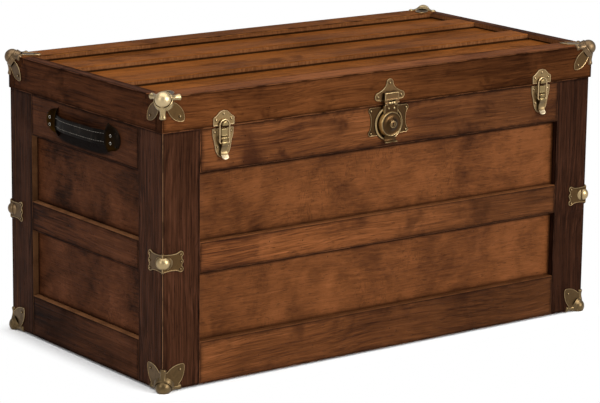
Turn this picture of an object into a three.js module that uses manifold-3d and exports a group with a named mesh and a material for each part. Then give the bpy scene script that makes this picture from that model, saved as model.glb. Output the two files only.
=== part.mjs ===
// Sea chest: a framed and panelled wooden trunk with a hinged lid, brass ball corners, edge clamps,
// two draw latches, a hasp lock, a leather handle on each end, a continuous hinge and a lid stay.
// Millimetres, +Z up, X along the length, -Y is the front.

import * as THREE from 'three';
import { mergeVertices } from 'three/addons/utils/BufferGeometryUtils.js';
import Module from 'manifold-3d';

const wasm = await Module();
wasm.setup();

// Wooden case, outside sizes
const case_length = 1061;
const case_depth = 551;
const case_height = 497;
const foot_rise = 4;
const board = 19;
const front_stile_width = 84;
const end_stile_width = 82;
const top_rail_height = 84;
const middle_rail_height = 60;
const bottom_rail_height = 84;
const panel_recess = 13;
const panel_thickness = 5.4;
const rabbet_width = 9;
const bottom_panel_thickness = 9;
const bottom_groove_depth = 7;
const bottom_groove_height = 14;

// Lid
const lid_overhang = 3;
const lid_height = 68;
const seam_gap = 0.6;
const lid_top_board = 20;
const lid_rail_width = 57;
const lid_end_board = 25;
const lid_recess = 11;
const lid_sheet_thickness = 8;
const back_channel_width = 93;
const middle_channel_width = 118;
const batten_width = 57;

// Clearances and finish of edges
const fit_gap = 0.3;
const arris = 1.4;
const joint_groove = 0.8;
const overrun = 5;

// Brass corners
const metal_sheet = 1.6;
const ball_radius = 15.5;
const ball_inset = 5.5;
const ring_radius = 17;
const ring_tube = 1.9;
const arm_radius = 6.6;
const arm_inset = 3.4;
const arm_length = 43;
const petal_reach = 49;
const lid_petal_root_share = 0.5;
const foot_petal_root_share = 0.74;
// Petal outline from the arm to its tip: place along one edge as a share of the reach, and the share of
// the way from the root to the full reach along the other
const petal_shares = [[0.2, 0], [0.3, 0.34], [0.46, 0.7], [0.66, 0.93], [0.86, 1]];
const petal_tip_share = 0.97;
const petal_points = 5;

// Clamps on the upright edges
const clamp_ball_radius = 11.5;
const clamp_ball_inset = 1.5;
const clamp_ring_radius = 13.4;
const clamp_ring_tube = 1.6;
const clamp_reach = 46;
const clamp_lobe_radius = 6;
const clamp_lobe_spacing = 14.5;
const clamp_waist = 16;
const clamp_root_height = 18;
const finial_radius = 2.6;

// Draw latches
const latch_end_distance = 134.5;
const latch_width = 48;
const keeper_height = 31;
const keeper_shoulder = 17;
const latch_edge_gap = 1.4;
const keeper_bend_shares = [0.6, 0.8];
const hump_width = 15;
const hump_top = 11.4;
const hump_depth = 7;
const hump_bevel = 1.6;
const base_straight = 20;
const base_waist = 34;
const base_waist_width = 35;
const base_height = 59;
const base_bend_share = 0.86;
const base_top_gap = 2.6;
const base_box_top = 3.6;
const base_box_bottom = 18.4;
const base_box_depth = 6;
const latch_axis_out = 7.5;
const latch_pin_drop = 22;
const latch_pin_radius = 1.5;
const latch_pin_length = 18.4;
const latch_knuckle_radius = 3.2;
const latch_knuckle_width = 10.4;
const latch_ear_thickness = 2.2;
const loop_drop = 31;
const loop_wire = 3;
const loop_width = 25;
const loop_gap = 0.5;
const loop_foot_radius = 3.5;
const lever_width = 15;
const lever_barrel_radius = 4;
const lever_sheet = 2;
const lever_web = 2.6;
const lever_length = 61;
const lever_tip_out = 11;
const lever_bend_shares = [0.72, 0.85];
const lever_waist_out = 4.4;

// Lock: plate on the lid, plate on the case, swinging hasp and turning key plug
const lid_plate_lobe_radius = 8.2;
const lid_plate_lobe_x = 28.5;
const lid_plate_lobe_z = 17;
const lid_plate_top_z = 43;
const lid_plate_foot_z = 8;
const lid_plate_bend_x = 12.5;
const lid_plate_bend_z = 31;
const housing_width = 34;
const housing_bottom = 9;
const housing_height = 16;
const housing_depth = 7.6;
const housing_recess = 1.2;
const housing_border = 2.4;
const hasp_axis_z = 4.2;
const hasp_axis_out = 11;
const hasp_barrel_radius = 2.7;
const hasp_barrel_width = 17;
const hasp_hinge_width = 36;
const hasp_pin_radius = 1.3;
const hasp_strap_width = 33;
const hasp_strap_sheet = 2.2;
const lock_centre_drop = 38;
const lock_plate_ear_x = 44;
const lock_plate_ear_top = 9.5;
const lock_plate_ear_bottom = 55;
const lock_plate_ear_radius = 5.6;
const lock_plate_waist_x = 42;
const lock_ring_radius = 30.6;
const lock_ring_tube = 3.5;
const drum_base_radius = 26.2;
const drum_front_radius = 20.4;
const drum_shoulder_radius = 23.4;
const drum_back_out = 2.6;
const drum_front_out = 13.2;
const drum_shoulder_out = 8.4;
const drum_wall = 2.2;
const drum_dish_depth = 0.9;
const drum_rim_width = 1.9;
const boss_radius = 11.5;
const boss_out = 18.4;
const boss_top_share = 0.62;
const strap_cover_share = 0.8;
const plug_radius = 5.6;
const plug_length = 9.9;
const plug_front_out = 17.8;
const key_slot_width = 1.6;
const key_slot_length = 7;
const key_slot_depth = 4;
const cam_length = 9;
const cam_thickness = 1.8;
const lip_width = 27;
const lip_drop = 76;
const lip_out = 14.5;
const catch_radius = 5;
const catch_out = 6.4;

// Leather handles and their end caps
const handle_drop = 39;
const strap_width = 29;
const strap_thickness = 4.8;
const strap_seat = 1.2;
const strap_rise = 15;
const strap_half_length = 124;
// How the strap bows between its caps: place along it as a share of the way to the cap, and its rise
const strap_bow_shares = [[0.72, 0.55], [0.36, 0.93]];
const cap_mouth = 90;
const cap_length = 43;
const cap_mouth_width = 58;
const cap_rise = 9.6;
const cap_slot_gap = 0.7;
// Plan of the cap from mouth to outer end: place along it and half width, as shares of its length and
// of half its mouth
const cap_plan_shares = [[0.07, 0.93], [0.25, 0.86], [0.5, 0.79], [0.72, 0.66], [0.88, 0.46], [0.97, 0.22]];
const cap_shoulder_shares = [1.05, 0.9];

// Continuous hinge along the back
const hinge_length = 980;
const hinge_knuckles = 16;
const hinge_leaf_width = 17;
const hinge_leaf_sheet = 1.6;
const hinge_barrel_radius = 4;
const hinge_pin_radius = 1.7;
const hinge_bore_gap = 0.45;
const knuckle_gap = 0.4;

// Lid stay: both pins lie on one circle round the hinge axis, so the arm turns half as far as the lid
const stay_circle = 150;
const stay_lid_pin_rise = 25;
const stay_case_pin_drop = 60;
const stay_arm_sheet = 2.4;
const stay_arm_width = 16;
const stay_arm_reach = 282;
const stay_slot_start = 76;
const stay_pin_radius = 3.2;
const stay_pin_head = 6;
const stay_head_sheet = 1.6;
const stay_plate_sheet = 2;
const stay_plate_width = 30;
const stay_plate_height = 38;
const stay_wall_gap = 5;
const stay_plane_inset = 12;

// Overall places that follow from the sizes above
const lid_length = case_length + 2 * lid_overhang;
const lid_depth = case_depth + lid_overhang;
const front_y = -lid_depth / 2 + lid_overhang;
const back_y = lid_depth / 2;
const wood_bottom = foot_rise;
const seam_z = wood_bottom + case_height;
const lid_bottom = seam_z + seam_gap;
const lid_top = lid_bottom + lid_height;
const lid_front_y = front_y - lid_overhang;
const half_case = case_length / 2;
const half_lid = lid_length / 2;
const hinge_axis_y = back_y + hinge_barrel_radius;
const hinge_axis_z = seam_z + seam_gap / 2;
// The metal stands out further in front than behind, and the origin is under the middle of it all
const front_reach = boss_out - lid_overhang;
const back_reach = ball_radius - ball_inset;
const centring_y = (front_reach - back_reach) / 2;

// Materials
const dark_wood = new THREE.MeshStandardMaterial({ color: 0x4a2b1a, roughness: 0.5, metalness: 0 });
const mid_wood = new THREE.MeshStandardMaterial({ color: 0x6e4022, roughness: 0.48, metalness: 0 });
const light_wood = new THREE.MeshStandardMaterial({ color: 0x7a4c2b, roughness: 0.5, metalness: 0 });
const brass = new THREE.MeshStandardMaterial({ color: 0x94805a, roughness: 0.35, metalness: 1 });
const leather = new THREE.MeshStandardMaterial({ color: 0x1c1a19, roughness: 0.6, metalness: 0 });
const black_metal = new THREE.MeshStandardMaterial({ color: 0x26221f, roughness: 0.45, metalness: 1 });

const weld = 1e-4;

// Turns a closed geometry into a solid that can be joined and cut
function solid(geometry) {
  const bare = geometry.clone();
  bare.deleteAttribute('normal');
  bare.deleteAttribute('uv');
  const merged = mergeVertices(bare, weld);
  const vertProperties = new Float32Array(merged.attributes.position.array);
  const triVerts = new Uint32Array(merged.index.array);
  return new wasm.Manifold(new wasm.Mesh({ numProp: 3, vertProperties, triVerts }));
}

// Turns a solid back into a geometry
function geometryOf(piece) {
  const mesh = piece.getMesh();
  const geometry = new THREE.BufferGeometry();
  geometry.setAttribute('position', new THREE.BufferAttribute(new Float32Array(mesh.vertProperties), 3));
  geometry.setIndex(new THREE.BufferAttribute(new Uint32Array(mesh.triVerts), 1));
  geometry.computeVertexNormals();
  return geometry;
}

function joined(...pieces) {
  return pieces.reduce((whole, piece) => whole.add(piece));
}

// A box between two corners
function block(x0, x1, y0, y1, z0, z1) {
  const geometry = new THREE.BoxGeometry(Math.abs(x1 - x0), Math.abs(y1 - y0), Math.abs(z1 - z0));
  return geometry.translate((x0 + x1) / 2, (y0 + y1) / 2, (z0 + z1) / 2);
}

function polygon(points) {
  return new THREE.Shape(points.map(([a, b]) => new THREE.Vector2(a, b)));
}

// An outline in the YZ plane, drawn along X between two places
function alongX(shape, x0, x1, curveSegments = 8) {
  const geometry = new THREE.ExtrudeGeometry(shape, { depth: x1 - x0, bevelEnabled: false, curveSegments });
  const axes = new THREE.Matrix4().set(0, 0, 1, x0, 1, 0, 0, 0, 0, 1, 0, 0, 0, 0, 0, 1);
  return geometry.applyMatrix4(axes);
}

// An outline in the XY plane, drawn up Z between two places
function alongZ(shape, z0, z1, curveSegments = 8) {
  const geometry = new THREE.ExtrudeGeometry(shape, { depth: z1 - z0, bevelEnabled: false, curveSegments });
  return geometry.translate(0, 0, z0);
}

// An outline in the XZ plane, drawn outwards to the front between two distances from y = 0
function outwards(shape, out0, out1, bevel = 0, curveSegments = 8) {
  const geometry = new THREE.ExtrudeGeometry(shape, {
    depth: out1 - out0 - 2 * bevel,
    bevelEnabled: bevel > 0,
    bevelThickness: bevel,
    bevelSize: bevel,
    bevelOffset: -bevel,
    bevelSegments: 2,
    curveSegments,
  });
  const axes = new THREE.Matrix4().set(1, 0, 0, 0, 0, 0, -1, -out0 - bevel, 0, 1, 0, 0, 0, 0, 0, 1);
  return geometry.applyMatrix4(axes);
}

// A round bar along X through (out, z)
function barAlongX(radius, x0, x1, out, z, sides = 12) {
  const geometry = new THREE.CylinderGeometry(radius, radius, x1 - x0, sides);
  return geometry.rotateZ(Math.PI / 2).translate((x0 + x1) / 2, -out, z);
}

// A round bar that stands out to the front from one distance to another
function barOutwards(radius0, radius1, x, z, out0, out1, sides = 24) {
  const geometry = new THREE.CylinderGeometry(radius0, radius1, out1 - out0, sides);
  return geometry.translate(x, -(out0 + out1) / 2, z);
}

// The outline of a bent strip of sheet: the line of its middle, thickened to both sides
function stripShape(points, thickness, divisions) {
  const curve = new THREE.SplineCurve(points.map(([a, b]) => new THREE.Vector2(a, b)));
  const near = [];
  const far = [];
  for (let i = 0; i <= divisions; i += 1) {
    const point = curve.getPoint(i / divisions);
    const along = curve.getTangent(i / divisions);
    const across = new THREE.Vector2(-along.y, along.x).multiplyScalar(thickness / 2);
    near.push(point.clone().add(across));
    far.unshift(point.clone().sub(across));
  }
  return new THREE.Shape([...near, ...far]);
}

// The same geometry in another corner: each sign of -1 mirrors that axis
function mirrored(geometry, sx, sy, sz) {
  const copy = geometry.clone().scale(sx, sy, sz);
  if (sx * sy * sz < 0) {
    const index = copy.index.array;
    for (let i = 0; i < index.length; i += 3) {
      const first = index[i];
      index[i] = index[i + 1];
      index[i + 1] = first;
    }
  }
  copy.computeVertexNormals();
  return copy;
}

const chest = new THREE.Group();
chest.position.y = centring_y;

function place(name, geometry, material, parent = chest) {
  const mesh = new THREE.Mesh(geometry, material);
  mesh.name = name;
  parent.add(mesh);
  return mesh;
}

// Case: corner posts, each glued up from a front stile and an end stile
function postGeometry(sx, sy) {
  const x = (inward) => sx * (half_case - inward);
  const edge_y = sy < 0 ? front_y : back_y;
  const y = (inward) => edge_y - sy * inward;
  const plan = polygon([
    [x(arris), y(0)], [x(front_stile_width), y(0)], [x(front_stile_width), y(board)],
    [x(board), y(board)], [x(board), y(end_stile_width)], [x(0), y(end_stile_width)],
    [x(0), y(board + joint_groove)], [x(joint_groove), y(board)], [x(0), y(board - joint_groove)],
    [x(0), y(arris)],
  ]);
  const low = wood_bottom + bottom_rail_height - rabbet_width;
  const high = seam_z - top_rail_height + rabbet_width;
  const front_rabbet = block(
    x(front_stile_width - rabbet_width), x(front_stile_width + overrun),
    y(panel_recess), y(board + overrun), low, high,
  );
  const end_rabbet = block(
    x(panel_recess), x(board + overrun),
    y(end_stile_width - rabbet_width), y(end_stile_width + overrun), low, high,
  );
  const post = solid(alongZ(plan, wood_bottom, seam_z));
  return geometryOf(post.subtract(solid(front_rabbet)).subtract(solid(end_rabbet)));
}

for (const [end, sx] of [['left', -1], ['right', 1]]) {
  for (const [side, sy] of [['front', -1], ['back', 1]]) {
    place(`${side}_${end}_post`, postGeometry(sx, sy), dark_wood);
  }
}

// Case: rails and panels of one wall, drawn as the front wall, with the outer face at y = 0
function topRail(half) {
  const low = case_height - top_rail_height;
  return alongX(polygon([
    [0, low + arris], [0, case_height], [board, case_height],
    [board, low + rabbet_width], [panel_recess, low + rabbet_width], [panel_recess, low], [arris, low],
  ]), -half, half);
}

function middleRail(half) {
  const middle = (case_height - top_rail_height + bottom_rail_height) / 2;
  const low = middle - middle_rail_height / 2;
  const high = middle + middle_rail_height / 2;
  return alongX(polygon([
    [0, low + arris], [0, high - arris], [arris, high], [panel_recess, high], [panel_recess, low], [arris, low],
  ]), -half, half);
}

function bottomRail(half) {
  const high = bottom_rail_height;
  const groove_low = bottom_groove_height - fit_gap;
  const groove_high = bottom_groove_height + bottom_panel_thickness + fit_gap;
  return alongX(polygon([
    [0, 0], [0, high - arris], [arris, high], [panel_recess, high],
    [panel_recess, high - rabbet_width], [board, high - rabbet_width],
    [board, groove_high], [board - bottom_groove_depth, groove_high],
    [board - bottom_groove_depth, groove_low], [board, groove_low], [board, 0],
  ]), -half, half);
}

function wallPanel(half) {
  const reach = half + rabbet_width - fit_gap;
  const low = bottom_rail_height - rabbet_width + fit_gap;
  const high = case_height - top_rail_height + rabbet_width - fit_gap;
  const near = panel_recess + fit_gap;
  return block(-reach, reach, near, near + panel_thickness, low, high);
}

const walls = [
  { name: 'front', turn: 0, x: 0, y: front_y, opening: case_length - 2 * front_stile_width, middle: true },
  { name: 'back', turn: Math.PI, x: 0, y: back_y, opening: case_length - 2 * front_stile_width, middle: false },
  { name: 'left', turn: -Math.PI / 2, x: -half_case, y: (front_y + back_y) / 2,
    opening: case_depth - 2 * end_stile_width, middle: true },
  { name: 'right', turn: Math.PI / 2, x: half_case, y: (front_y + back_y) / 2,
    opening: case_depth - 2 * end_stile_width, middle: true },
];
const wallGroups = {};
for (const wall of walls) {
  const group = new THREE.Group();
  group.position.set(wall.x, wall.y, wood_bottom);
  group.rotation.z = wall.turn;
  chest.add(group);
  wallGroups[wall.name] = group;
  const half = wall.opening / 2;
  const rail_half = half - fit_gap;
  const on_end = wall.name === 'left' || wall.name === 'right';
  const rail_wood = on_end ? dark_wood : mid_wood;
  place(`${wall.name}_top_rail`, topRail(rail_half), rail_wood, group);
  place(`${wall.name}_bottom_rail`, bottomRail(rail_half), rail_wood, group);
  place(`${wall.name}_panel`, wallPanel(half), on_end ? mid_wood : light_wood, group);
  if (wall.middle) place(`${wall.name}_middle_rail`, middleRail(rail_half), rail_wood, group);
}

// Case: bottom panel, let into the grooves of the bottom rails and notched round the posts
function bottomPanel() {
  const low = wood_bottom + bottom_groove_height;
  const high = low + bottom_panel_thickness;
  const into = board - bottom_groove_depth + fit_gap;
  const sheet = solid(block(-half_case + into, half_case - into, front_y + into, back_y - into, low, high));
  const clear = fit_gap;
  let panel = sheet;
  for (const sx of [-1, 1]) {
    for (const sy of [-1, 1]) {
      const edge_y = sy < 0 ? front_y : back_y;
      const past = board + clear;
      const notch_x = block(
        sx * half_case, sx * (half_case - past),
        edge_y, edge_y - sy * (end_stile_width + clear), low - overrun, high + overrun,
      );
      const notch_y = block(
        sx * half_case, sx * (half_case - front_stile_width - clear),
        edge_y, edge_y - sy * past, low - overrun, high + overrun,
      );
      panel = panel.subtract(solid(notch_x)).subtract(solid(notch_y));
    }
  }
  return geometryOf(panel);
}

place('bottom_panel', bottomPanel(), light_wood);

// Lid: front and back rails, each a skirt with a wide top board, marked by the joint line between them
function lidRail(sy) {
  const edge_y = sy < 0 ? lid_front_y : back_y;
  const y = (inward) => edge_y - sy * inward;
  const board_bottom = lid_top - lid_top_board;
  const ledge = lid_top - lid_recess;
  const inner = lid_rail_width;
  return alongX(polygon([
    [y(0), lid_bottom], [y(0), board_bottom - joint_groove], [y(joint_groove), board_bottom],
    [y(0), board_bottom + joint_groove], [y(0), lid_top - arris], [y(arris), lid_top],
    [y(inner - arris), lid_top], [y(inner), lid_top - arris], [y(inner), ledge],
    [y(inner - rabbet_width), ledge], [y(inner - rabbet_width), board_bottom],
    [y(board), board_bottom], [y(board), lid_bottom],
  ]), -half_lid, half_lid);
}

// Lid: end boards between the rails, grooved for the top panel
function lidEndBoard(sx) {
  const x = (inward) => sx * (half_lid - inward);
  const board_bottom = lid_top - lid_top_board;
  const front = lid_front_y + fit_gap;
  const back = back_y - fit_gap;
  const step = board_bottom - fit_gap;
  const ledge = lid_top - lid_recess - fit_gap;
  const near = lid_rail_width - rabbet_width;
  const side = polygon([
    [front + board, lid_bottom], [back - board, lid_bottom],
    [back - board, step], [back - near, step], [back - near, ledge], [back - lid_rail_width, ledge],
    [back - lid_rail_width, lid_top], [front + lid_rail_width, lid_top],
    [front + lid_rail_width, ledge], [front + near, ledge], [front + near, step], [front + board, step],
  ]);
  const outline = alongX(side, Math.min(x(0), x(lid_end_board)), Math.max(x(0), x(lid_end_board)));
  const groove = block(
    x(lid_end_board - rabbet_width), x(lid_end_board + overrun),
    front, back, lid_top - lid_recess - lid_sheet_thickness - fit_gap, lid_top - lid_recess,
  );
  return geometryOf(solid(outline).subtract(solid(groove)));
}

// Lid: recessed top panel that carries two raised battens between the end boards
function lidTopPanel() {
  const near_back = back_y - lid_rail_width + rabbet_width - fit_gap;
  const near_front = lid_front_y + lid_rail_width - rabbet_width + fit_gap;
  const top = lid_top - lid_recess - fit_gap;
  const bottom = top - lid_sheet_thickness + fit_gap;
  const reach = half_lid - lid_end_board + rabbet_width - fit_gap;
  let panel = solid(block(-reach, reach, near_front, near_back, bottom, top));
  const back_batten = back_y - lid_rail_width - back_channel_width;
  const front_batten = back_batten - batten_width - middle_channel_width;
  const half = half_lid - lid_end_board - fit_gap;
  for (const edge of [back_batten, front_batten]) {
    const section = polygon([
      [edge, bottom + panel_thickness], [edge, lid_top - arris], [edge - arris, lid_top],
      [edge - batten_width + arris, lid_top], [edge - batten_width, lid_top - arris],
      [edge - batten_width, bottom + panel_thickness],
    ]);
    panel = panel.add(solid(alongX(section, -half, half)));
  }
  return geometryOf(panel);
}

place('lid_front_rail', lidRail(-1), mid_wood);
place('lid_back_rail', lidRail(1), mid_wood);
place('lid_left_board', lidEndBoard(-1), dark_wood);
place('lid_right_board', lidEndBoard(1), dark_wood);
place('lid_top_panel', lidTopPanel(), light_wood);

// Metal corner, drawn with the wood in the octant x > 0, y > 0, z > 0
function petalShape(root_share) {
  const side = petal_shares.map(([along, rise]) => {
    const across = root_share + (1 - root_share) * rise;
    return new THREE.Vector2(along * petal_reach, across * petal_reach);
  });
  const tip = new THREE.Vector2(petal_tip_share * petal_reach, petal_tip_share * petal_reach);
  const other = side.map((point) => new THREE.Vector2(point.y, point.x)).reverse();
  const edge = new THREE.SplineCurve([...side, tip, ...other]).getPoints(petal_points * 2);
  return new THREE.Shape([
    new THREE.Vector2(0, 0), new THREE.Vector2(0, root_share * petal_reach), ...edge,
    new THREE.Vector2(root_share * petal_reach, 0),
  ]);
}

function cornerGeometry(root_share, cut_at) {
  const centre = [ball_inset, ball_inset, ball_inset];
  const ball = new THREE.SphereGeometry(ball_radius, 16, 8).translate(...centre);
  const ring = new THREE.TorusGeometry(ring_radius, ring_tube, 5, 18);
  const diagonal = new THREE.Quaternion().setFromUnitVectors(
    new THREE.Vector3(0, 0, 1), new THREE.Vector3(1, 1, 1).normalize(),
  );
  ring.applyQuaternion(diagonal).translate(...centre);
  let piece = solid(ball).add(solid(ring));
  const straight = arm_length - arm_radius;
  for (const axis of [0, 1, 2]) {
    const arm = new THREE.CapsuleGeometry(arm_radius, straight, 2, 8);
    if (axis === 0) arm.rotateZ(Math.PI / 2);
    if (axis === 2) arm.rotateX(Math.PI / 2);
    const place_at = [arm_inset, arm_inset, arm_inset];
    place_at[axis] = straight / 2;
    piece = piece.add(solid(arm.translate(...place_at)));
    const petal = alongZ(petalShape(root_share), -fit_gap - metal_sheet, -fit_gap);
    if (axis === 0) petal.applyMatrix4(new THREE.Matrix4().set(0, 0, 1, 0, 1, 0, 0, 0, 0, 1, 0, 0, 0, 0, 0, 1));
    if (axis === 1) petal.applyMatrix4(new THREE.Matrix4().set(0, 1, 0, 0, 0, 0, 1, 0, 1, 0, 0, 0, 0, 0, 0, 1));
    piece = piece.add(solid(petal));
  }
  const far = arm_length + petal_reach;
  piece = piece.subtract(solid(block(-fit_gap, far, -fit_gap, far, -fit_gap, far)));
  if (cut_at > 0) piece = piece.subtract(solid(block(-far, far, -far, far, -far, -cut_at)));
  return geometryOf(piece);
}

const lidCorner = cornerGeometry(lid_petal_root_share, 0);
const footCorner = cornerGeometry(foot_petal_root_share, foot_rise);
for (const [end, sx] of [['left', -1], ['right', 1]]) {
  for (const [side, sy] of [['front', -1], ['back', 1]]) {
    const lid_edge = sy < 0 ? lid_front_y : back_y;
    const case_edge = sy < 0 ? front_y : back_y;
    const lid_corner = mirrored(lidCorner, -sx, -sy, -1).translate(sx * half_lid, lid_edge, lid_top);
    const foot = mirrored(footCorner, -sx, -sy, 1).translate(sx * half_case, case_edge, wood_bottom);
    place(`lid_corner_${side}_${end}`, lid_corner, brass);
    place(`foot_corner_${side}_${end}`, foot, brass);
  }
}

// Clamp on an upright edge, drawn with the wood in x > 0, y > 0, at mid-height
function clampFlange() {
  const lobe_x = clamp_reach - clamp_lobe_radius;
  const neck_x = lobe_x - clamp_lobe_radius * 2;
  const back = -fit_gap;
  const front = -fit_gap - metal_sheet;
  const top = clamp_lobe_spacing + clamp_lobe_radius / 2;
  const half_outline = [
    [-clamp_lobe_radius, clamp_root_height], [0, clamp_root_height], [neck_x / 2, clamp_waist],
    [neck_x, clamp_waist], [lobe_x - clamp_lobe_radius / 2, top], [lobe_x, top],
  ];
  const mirrored_outline = half_outline.map(([x, z]) => [x, -z]).reverse();
  const plate = outwards(polygon([...half_outline, ...mirrored_outline]), -back, -front);
  let flange = solid(plate);
  for (const z of [-clamp_lobe_spacing, 0, clamp_lobe_spacing]) {
    const lobe = barOutwards(clamp_lobe_radius, clamp_lobe_radius, lobe_x, z, -back, -front, 12);
    flange = flange.add(solid(lobe));
  }
  return geometryOf(flange);
}

function clampGeometry() {
  const centre = [clamp_ball_inset, clamp_ball_inset, 0];
  const ball = new THREE.SphereGeometry(clamp_ball_radius, 14, 8).translate(...centre);
  const ring = new THREE.TorusGeometry(clamp_ring_radius, clamp_ring_tube, 5, 16);
  ring.rotateX(Math.PI / 2).rotateZ(-Math.PI / 4).translate(...centre);
  const front_flange = clampFlange();
  const end_flange = mirrored(front_flange, -1, 1, 1).rotateZ(-Math.PI / 2);
  let piece = joined(solid(ball), solid(ring), solid(front_flange), solid(end_flange));
  for (const sz of [-1, 1]) {
    const finial = new THREE.SphereGeometry(finial_radius, 8, 5);
    piece = piece.add(solid(finial.translate(0, 0, sz * clamp_root_height)));
  }
  const far = clamp_reach * 2;
  const beyond = clamp_reach;
  const wood = block(-fit_gap, far, -fit_gap, far, -beyond, beyond);
  const wide = block(-far, -ball_radius, -far, far, -beyond, beyond);
  const deep = block(-far, far, -far, -ball_radius, -beyond, beyond);
  return geometryOf(piece.subtract(solid(wood)).subtract(solid(wide)).subtract(solid(deep)));
}

const clamp = clampGeometry();
const clamp_z = wood_bottom + case_height / 2;
for (const [end, sx] of [['left', -1], ['right', 1]]) {
  for (const [side, sy] of [['front', -1], ['back', 1]]) {
    const edge_y = sy < 0 ? front_y : back_y;
    const piece = mirrored(clamp, -sx, -sy, 1).translate(sx * half_case, edge_y, clamp_z);
    place(`edge_clamp_${side}_${end}`, piece, brass);
  }
}

// Draw latch, drawn with the case's front face at y = 0 and the seam at z = 0
function keeperGeometry() {
  const half = latch_width / 2;
  const low = seam_gap + latch_edge_gap;
  const [bend_x, bend_z] = keeper_bend_shares;
  const shape = new THREE.Shape();
  shape.moveTo(-half + arris, low);
  shape.lineTo(-half, keeper_shoulder);
  shape.quadraticCurveTo(-half * bend_x, keeper_height * bend_z, -half / 4, keeper_height - arris);
  shape.quadraticCurveTo(0, keeper_height + arris, half / 4, keeper_height - arris);
  shape.quadraticCurveTo(half * bend_x, keeper_height * bend_z, half, keeper_shoulder);
  shape.lineTo(half - arris, low);
  shape.closePath();
  const face = lid_overhang + fit_gap;
  const plate = outwards(shape, face, face + metal_sheet, 0, 5);
  const round = hump_width / 2;
  const hump = new THREE.Shape();
  hump.moveTo(-round, low);
  hump.lineTo(-round, hump_top - round);
  hump.absarc(0, hump_top - round, round, Math.PI, 0, true);
  hump.lineTo(round, low);
  hump.closePath();
  const boss = outwards(hump, face, face + metal_sheet + hump_depth, hump_bevel, 6);
  return geometryOf(solid(plate).add(solid(boss)));
}

function latchBaseGeometry() {
  const half = latch_width / 2;
  const waist = base_waist_width / 2;
  const shape = new THREE.Shape();
  shape.moveTo(-half, -base_top_gap);
  shape.lineTo(-half, -base_straight);
  shape.quadraticCurveTo(-waist, -base_waist + arris, -waist, -base_waist - arris);
  shape.quadraticCurveTo(-waist, -base_height * base_bend_share, -waist / 3, -base_height);
  shape.quadraticCurveTo(0, -base_height - arris, waist / 3, -base_height);
  shape.quadraticCurveTo(waist, -base_height * base_bend_share, waist, -base_waist - arris);
  shape.quadraticCurveTo(waist, -base_waist + arris, half, -base_straight);
  shape.lineTo(half, -base_top_gap);
  shape.closePath();
  const plate = outwards(shape, fit_gap, fit_gap + metal_sheet, 0, 5);
  const box_half = lever_width / 2;
  const box = polygon([
    [-box_half, -base_box_bottom], [box_half, -base_box_bottom], [box_half, -base_box_top],
    [-box_half, -base_box_top],
  ]);
  const housing = outwards(box, fit_gap, fit_gap + metal_sheet + base_box_depth, arris);
  const pin_half = latch_pin_length / 2;
  let piece = joined(
    solid(plate), solid(housing),
    solid(barAlongX(latch_pin_radius, -pin_half, pin_half, latch_axis_out, -latch_pin_drop, 10)),
  );
  for (const sx of [-1, 1]) {
    const inner = sx * (latch_knuckle_width / 2 + fit_gap);
    const outer = inner + sx * latch_ear_thickness;
    const ear = alongX(polygon([
      [-fit_gap, -latch_pin_drop + latch_knuckle_radius], [-fit_gap, -latch_pin_drop - latch_knuckle_radius],
      [-latch_axis_out, -latch_pin_drop - latch_knuckle_radius + arris],
      [-latch_axis_out - latch_knuckle_radius + arris, -latch_pin_drop],
      [-latch_axis_out, -latch_pin_drop + latch_knuckle_radius - arris],
    ]), Math.min(inner, outer), Math.max(inner, outer));
    piece = piece.add(solid(ear));
  }
  return geometryOf(piece);
}

function latchLeverGeometry() {
  const half = lever_width / 2;
  const knuckle_half = latch_knuckle_width / 2;
  const barrel_bottom = loop_drop + lever_barrel_radius;
  const [waist_share, flare_share] = lever_bend_shares;
  const path = [
    [-latch_axis_out, -loop_drop - lever_barrel_radius / 2],
    [-lever_waist_out - lever_sheet / 2, -barrel_bottom - lever_sheet],
    [-lever_waist_out, -lever_length * waist_share],
    [-lever_waist_out - lever_sheet, -lever_length * flare_share],
    [-lever_tip_out + lever_sheet, -lever_length + lever_sheet / 2],
    [-lever_tip_out, -lever_length],
  ];
  const blade = alongX(stripShape(path, lever_sheet, 10), -half, half);
  const barrel = barAlongX(lever_barrel_radius, -half, half, latch_axis_out, -loop_drop, 16);
  const knuckle = barAlongX(
    latch_knuckle_radius, -knuckle_half, knuckle_half, latch_axis_out, -latch_pin_drop, 14,
  );
  const web = block(
    -knuckle_half, knuckle_half,
    -latch_axis_out - lever_web / 2, -latch_axis_out + lever_web / 2, -loop_drop, -latch_pin_drop,
  );
  const pin_bore = barAlongX(
    latch_pin_radius + fit_gap, -half - overrun, half + overrun, latch_axis_out, -latch_pin_drop, 14,
  );
  const loop_bore = barAlongX(
    loop_wire / 2 + fit_gap * 2, -half - overrun, half + overrun, latch_axis_out, -loop_drop, 14,
  );
  const lever = joined(solid(blade), solid(barrel), solid(knuckle), solid(web));
  return geometryOf(lever.subtract(solid(pin_bore)).subtract(solid(loop_bore)));
}

function roundedLoop(half, low, high, foot) {
  const shape = new THREE.Shape();
  shape.moveTo(-half + foot, low);
  shape.lineTo(half - foot, low);
  shape.absarc(half - foot, low + foot, foot, -Math.PI / 2, 0, false);
  shape.lineTo(half, high - half);
  shape.absarc(0, high - half, half, 0, Math.PI, false);
  shape.lineTo(-half, low + foot);
  shape.absarc(-half + foot, low + foot, foot, Math.PI, Math.PI * 1.5, false);
  return shape;
}

function latchLoopGeometry() {
  const half = loop_width / 2;
  const wire = loop_wire / 2;
  const low = -loop_drop - wire;
  const high = hump_top + loop_gap + loop_wire;
  const outer = roundedLoop(half, low, high, loop_foot_radius);
  const inner = roundedLoop(half - loop_wire, low + loop_wire, high - loop_wire, loop_foot_radius - wire);
  outer.holes.push(inner);
  return outwards(outer, latch_axis_out - wire, latch_axis_out + wire, wire / 2, 4);
}

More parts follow.
